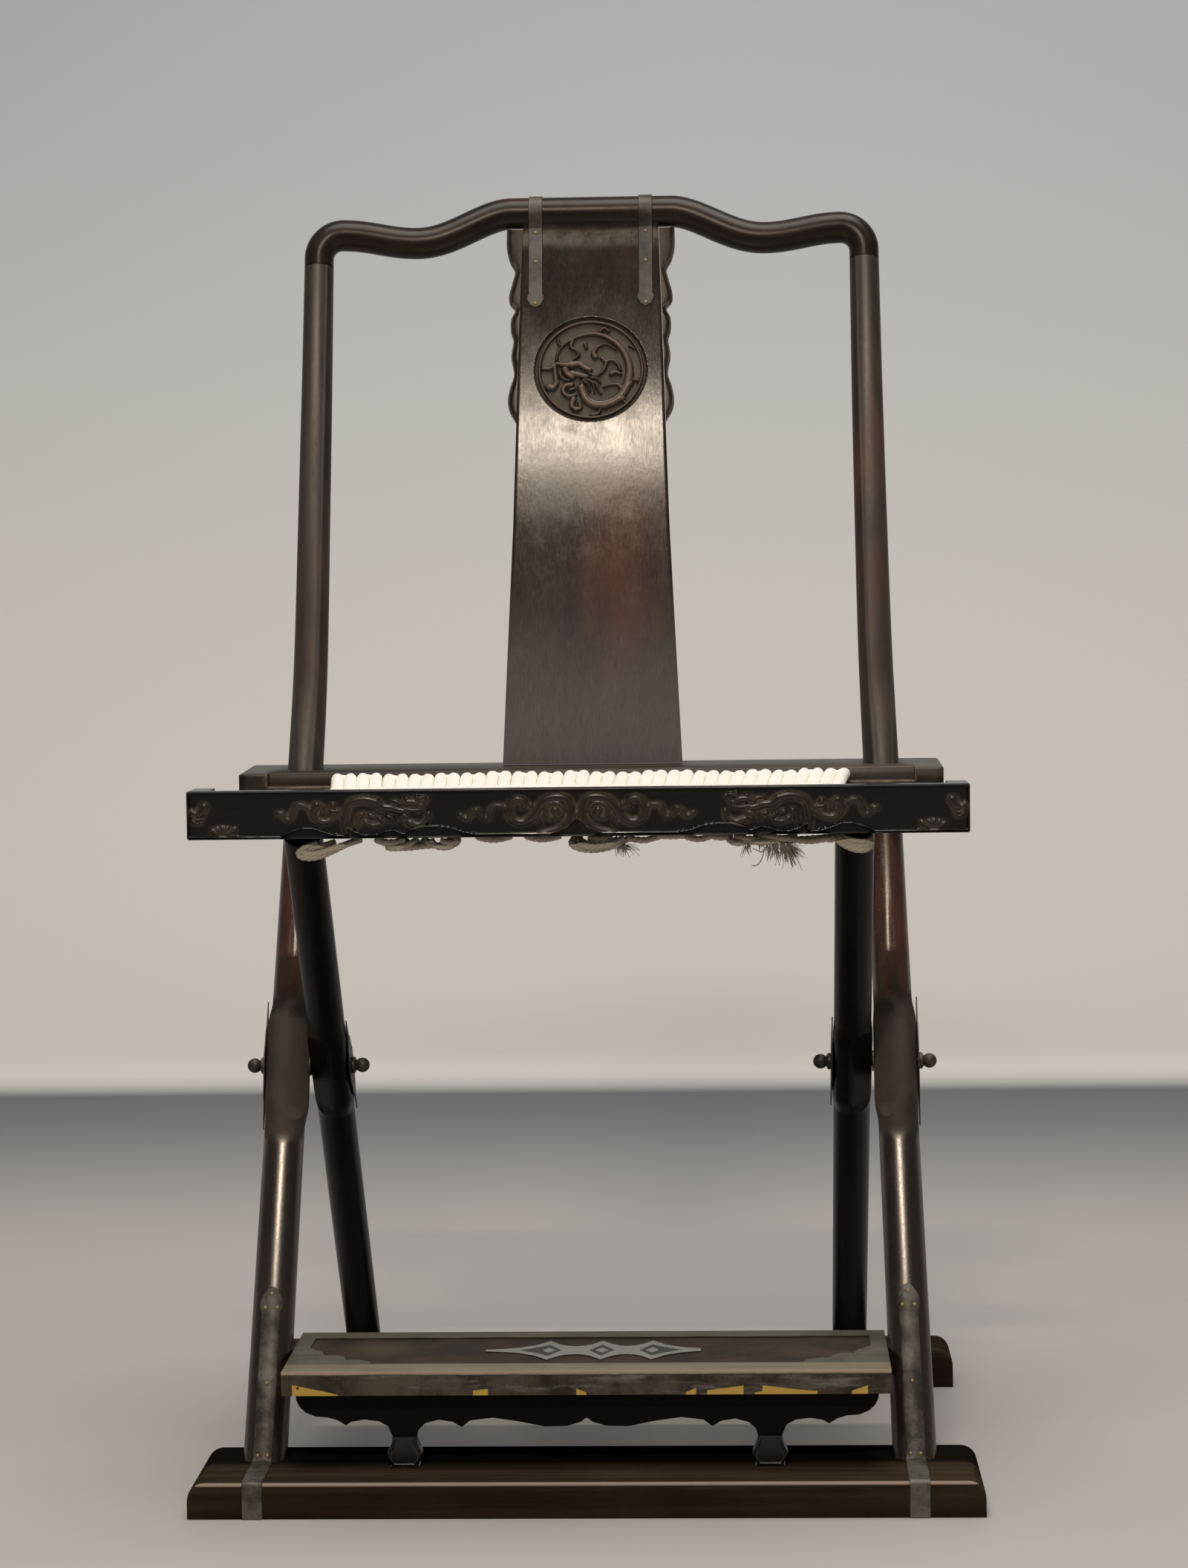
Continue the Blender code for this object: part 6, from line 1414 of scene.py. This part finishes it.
def cladding_metal():
    """Sheet metal gone brown and grey, rubbed bright along its front edge, with brass showing in patches
    along the foot of the face."""
    start, place, settle = finish("footrest_cladding_metal")
    x, y, z = place.axis("X"), place.axis("Y"), place.axis("Z")
    cloud = place.noise(24, 6, 0.68)
    streak = place.noise(90, 5, 0.65, (0.16, 1, 1))
    speckle = place.noise(300, 4, 0.7)
    ragged = (cloud - 0.5) * 0.012 + (speckle - 0.5) * 0.003
    colour = start.mix(cloud.ease(0.36, 0.64), (0.036, 0.029, 0.021), (0.120, 0.102, 0.072))
    colour = start.mix(streak.ease(0.52, 0.68) * 0.7, colour, (0.250, 0.240, 0.215))
    colour = start.mix(speckle.ease(0.56, 0.72) * 0.6, colour, (0.022, 0.019, 0.016))
    above = z.ease(0.1030, 0.1038)
    colour = start.mix(above * (0.35 + cloud.ease(0.3, 0.6) * 0.35), colour, (0.230, 0.215, 0.150))
    front_band = above * (y + ragged * 0.4).ease(FOOTREST_FACE + 0.029, FOOTREST_FACE + 0.026)
    colour = start.mix(front_band * (0.60 + streak.ease(0.4, 0.6) * 0.3), colour, (0.420, 0.350, 0.235))
    edge = (abs(y - FOOTREST_FACE).most(abs(z - FOOTREST_TOP)) + ragged * 0.2).ease(0.0028, 0.0012)
    colour = start.mix(edge * 0.85, colour, (0.62, 0.45, 0.32))
    brass = None
    for left, right, reach_left, reach_right in BRASS_PATCHES:
        slope = (reach_right - reach_left) / (right - left)
        wander = x + ragged * 0.3
        spot = wander.ease(left, left + 0.0006) * wander.ease(right, right - 0.0006) \
            * (z - (x - left) * slope + ragged * 0.25).ease(FOOTREST_UNDER + reach_left + 0.0003,
                                                            FOOTREST_UNDER + reach_left - 0.0003)
        brass = spot if brass is None else brass.most(spot)
    nail = place.far_from((-0.2190, FOOTREST_FACE, 0.0918))
    brass = brass * y.ease(FOOTREST_FACE + 0.002, FOOTREST_FACE + 0.001) * nail.ease(0.0010, 0.0014)
    colour = start.mix(brass, colour, (0.62, 0.40, 0.075))
    metal = 0.65 - brass * 0.45
    roughness = 0.42 + cloud * 0.2 + speckle * 0.08
    return settle({"Base Color": colour, "Roughness": roughness, "Metallic": metal},
                  cloud * 0.6 + speckle * 0.4, 0.0006)


def inlay_grid():
    """The chain of lozenges: the half width at x comes from the distance to the nearest centre, by one table
    for the tails and one for the links. Each row runs across the chain, over the top and back underneath."""
    x = np.linspace(INLAY_LEFT, INLAY_RIGHT, 337)
    away = np.abs(x[:, None] - LOZENGE_CENTRES).min(1)
    tail = (x < LOZENGE_CENTRES[0]) | (x > LOZENGE_CENTRES[-1])
    half = np.where(tail, np.interp(away, *TAIL_SIDE), np.interp(away, *LINK_SIDE))
    field = np.where(tail, np.interp(away, *TAIL_FIELD), np.interp(away, *LINK_FIELD))[:, None]
    half[[0, -1]] = INLAY_TIP
    over = np.concatenate([np.ones(67), [0, 0]])
    aside = half[:, None] * np.concatenate([np.linspace(-1, 1, 67), [1, -1]])
    flower = away[:, None] / FLOWER_LENGTH + np.abs(aside) / FLOWER_HALF
    band = np.where((np.abs(aside) >= field) | (flower < 1), 1.0, 0.0)
    z = INLAY_UNDER + (INLAY_TOP - INLAY_UNDER) * over * (0.55 + 0.45 * band)
    return xyz(x[:, None], INLAY_MIDDLE_Y + aside, z), band * over


def inlay_metal():
    """Pale grey metal bands round fields of dark wood."""
    start, place, settle = finish("inlay_metal")
    band = start.mark("band")
    cloud = place.noise(120, 5, 0.7)
    streaks = place.noise(420, 5, 0.65, (0.05, 1, 1))
    shown = (band * 1.2 - cloud.ease(0.50, 0.72) * 0.75).ease(0.3, 0.6)
    wood_colour = start.mix(streaks.ease(0.5, 0.8) * 0.4, (0.040, 0.031, 0.024), (0.12, 0.10, 0.08))
    colour = start.mix(shown, wood_colour, (0.40, 0.39, 0.36))
    return settle({"Base Color": colour, "Roughness": 0.55 - shown * 0.12, "Metallic": shown * 0.5}, cloud,
                  0.0002)


fit(dressed("footrest_board"), panel_wood(), "footrest", "panel_wood", "footrest_board")
fit(dressed("footrest_cladding"), cladding_metal(), "footrest", "tarnished_metal", "footrest_cladding")
inlay, bands = inlay_grid()
fit(skin("footrest_inlay_piece", inlay, middles(inlay), sharp=60, band=bands), inlay_metal(), "footrest",
    "pewter_inlay", "footrest_inlay")
for word, side in SIDES:
    nodes["footrest_pin_" + word].data.materials[0] = bolt_metal


# Apron and feet: a scalloped board under the footrest's front edge, and two waisted feet that stand
# on the floor rail.
FOOT_X, FOOT_HALF = 0.1395, 0.0133
FOOT_FRONT, FOOT_BACK = -0.1985, -0.1825
FOOT_TOP, FOOT_UNDER = 0.0511, 0.0278
# Share of the height down from the top, and of the half width
FOOT_WAVES = ((0.00, 0.69), (0.16, 0.71), (0.36, 0.83), (0.58, 1.00), (0.74, 0.95), (0.86, 0.80), (0.94, 0.78),
              (1.00, 0.84))
# The carved line: how far in from the outline, half width and depth; the ridge outside it; the carving's top
FOOT_LINE, LINE_HALF, LINE_DEPTH = 0.0030, 0.0007, 0.0006
RIDGE_LINE, RIDGE_HALF, RIDGE_RISE = 0.0018, 0.0008, 0.0004
FOOT_CARVING_TOP = 0.0485
FOOT_ROUND = 0.0008


def foot_grid(x):
    """Rows down the foot; round each row the front, a side, the back and the other side. A thin line is cut
    in the front, following the outline a little way in, with a ridge beside it."""
    waves = through(FOOT_WAVES, 10)
    half = FOOT_HALF * waves[:, 1:]
    z = FOOT_TOP + (FOOT_UNDER - FOOT_TOP) * waves[:, :1]
    across = half * np.linspace(-1, 1, 49)
    inside = np.minimum(half - np.abs(across), z - FOOT_UNDER)
    carving = z < FOOT_CARVING_TOP
    line = np.clip(1 - np.abs(inside - FOOT_LINE) / LINE_HALF, 0, 1) * carving
    ridge = np.clip(1 - np.abs(inside - RIDGE_LINE) / RIDGE_HALF, 0, 1) * carving
    rounded = FOOT_ROUND * np.clip(1 - (half - np.abs(across)) / FOOT_ROUND, 0, 1) ** 2
    front = FOOT_FRONT + RIDGE_RISE + rounded + LINE_DEPTH * line - RIDGE_RISE * ridge
    back = np.broadcast_to(FOOT_BACK, (len(z), 3))
    grid = xyz(x + np.concatenate([across, half * (1, 0, -1)], 1), np.concatenate([front, back], 1), z)
    return grid, [np.pad(mark, ((0, 0), (0, 3))) for mark in (ridge, line)]


foot_wood = carved_wood("foot_wood", (1, 1, 0.05), 0.26)
apron_wood = wood("apron_wood", (0.05, 1, 1), brown=(0.008, 0.0065, 0.005), gloss=0.36, dust=0.02, shine=0.05)
fit(dressed("footrest_apron", bevel=0.0008), apron_wood, "footrest", "dark_wood", "footrest_apron")
for word, side in SIDES:
    grid, (ridge, line) = foot_grid(side * FOOT_X)
    fit(skin("footrest_foot_" + word + "_piece", grid, middles(grid), sharp=50, bare=ridge, hollow=line),
        foot_wood, "footrest", "dark_wood", "footrest_foot_" + word)


bpy.context.view_layer.update()
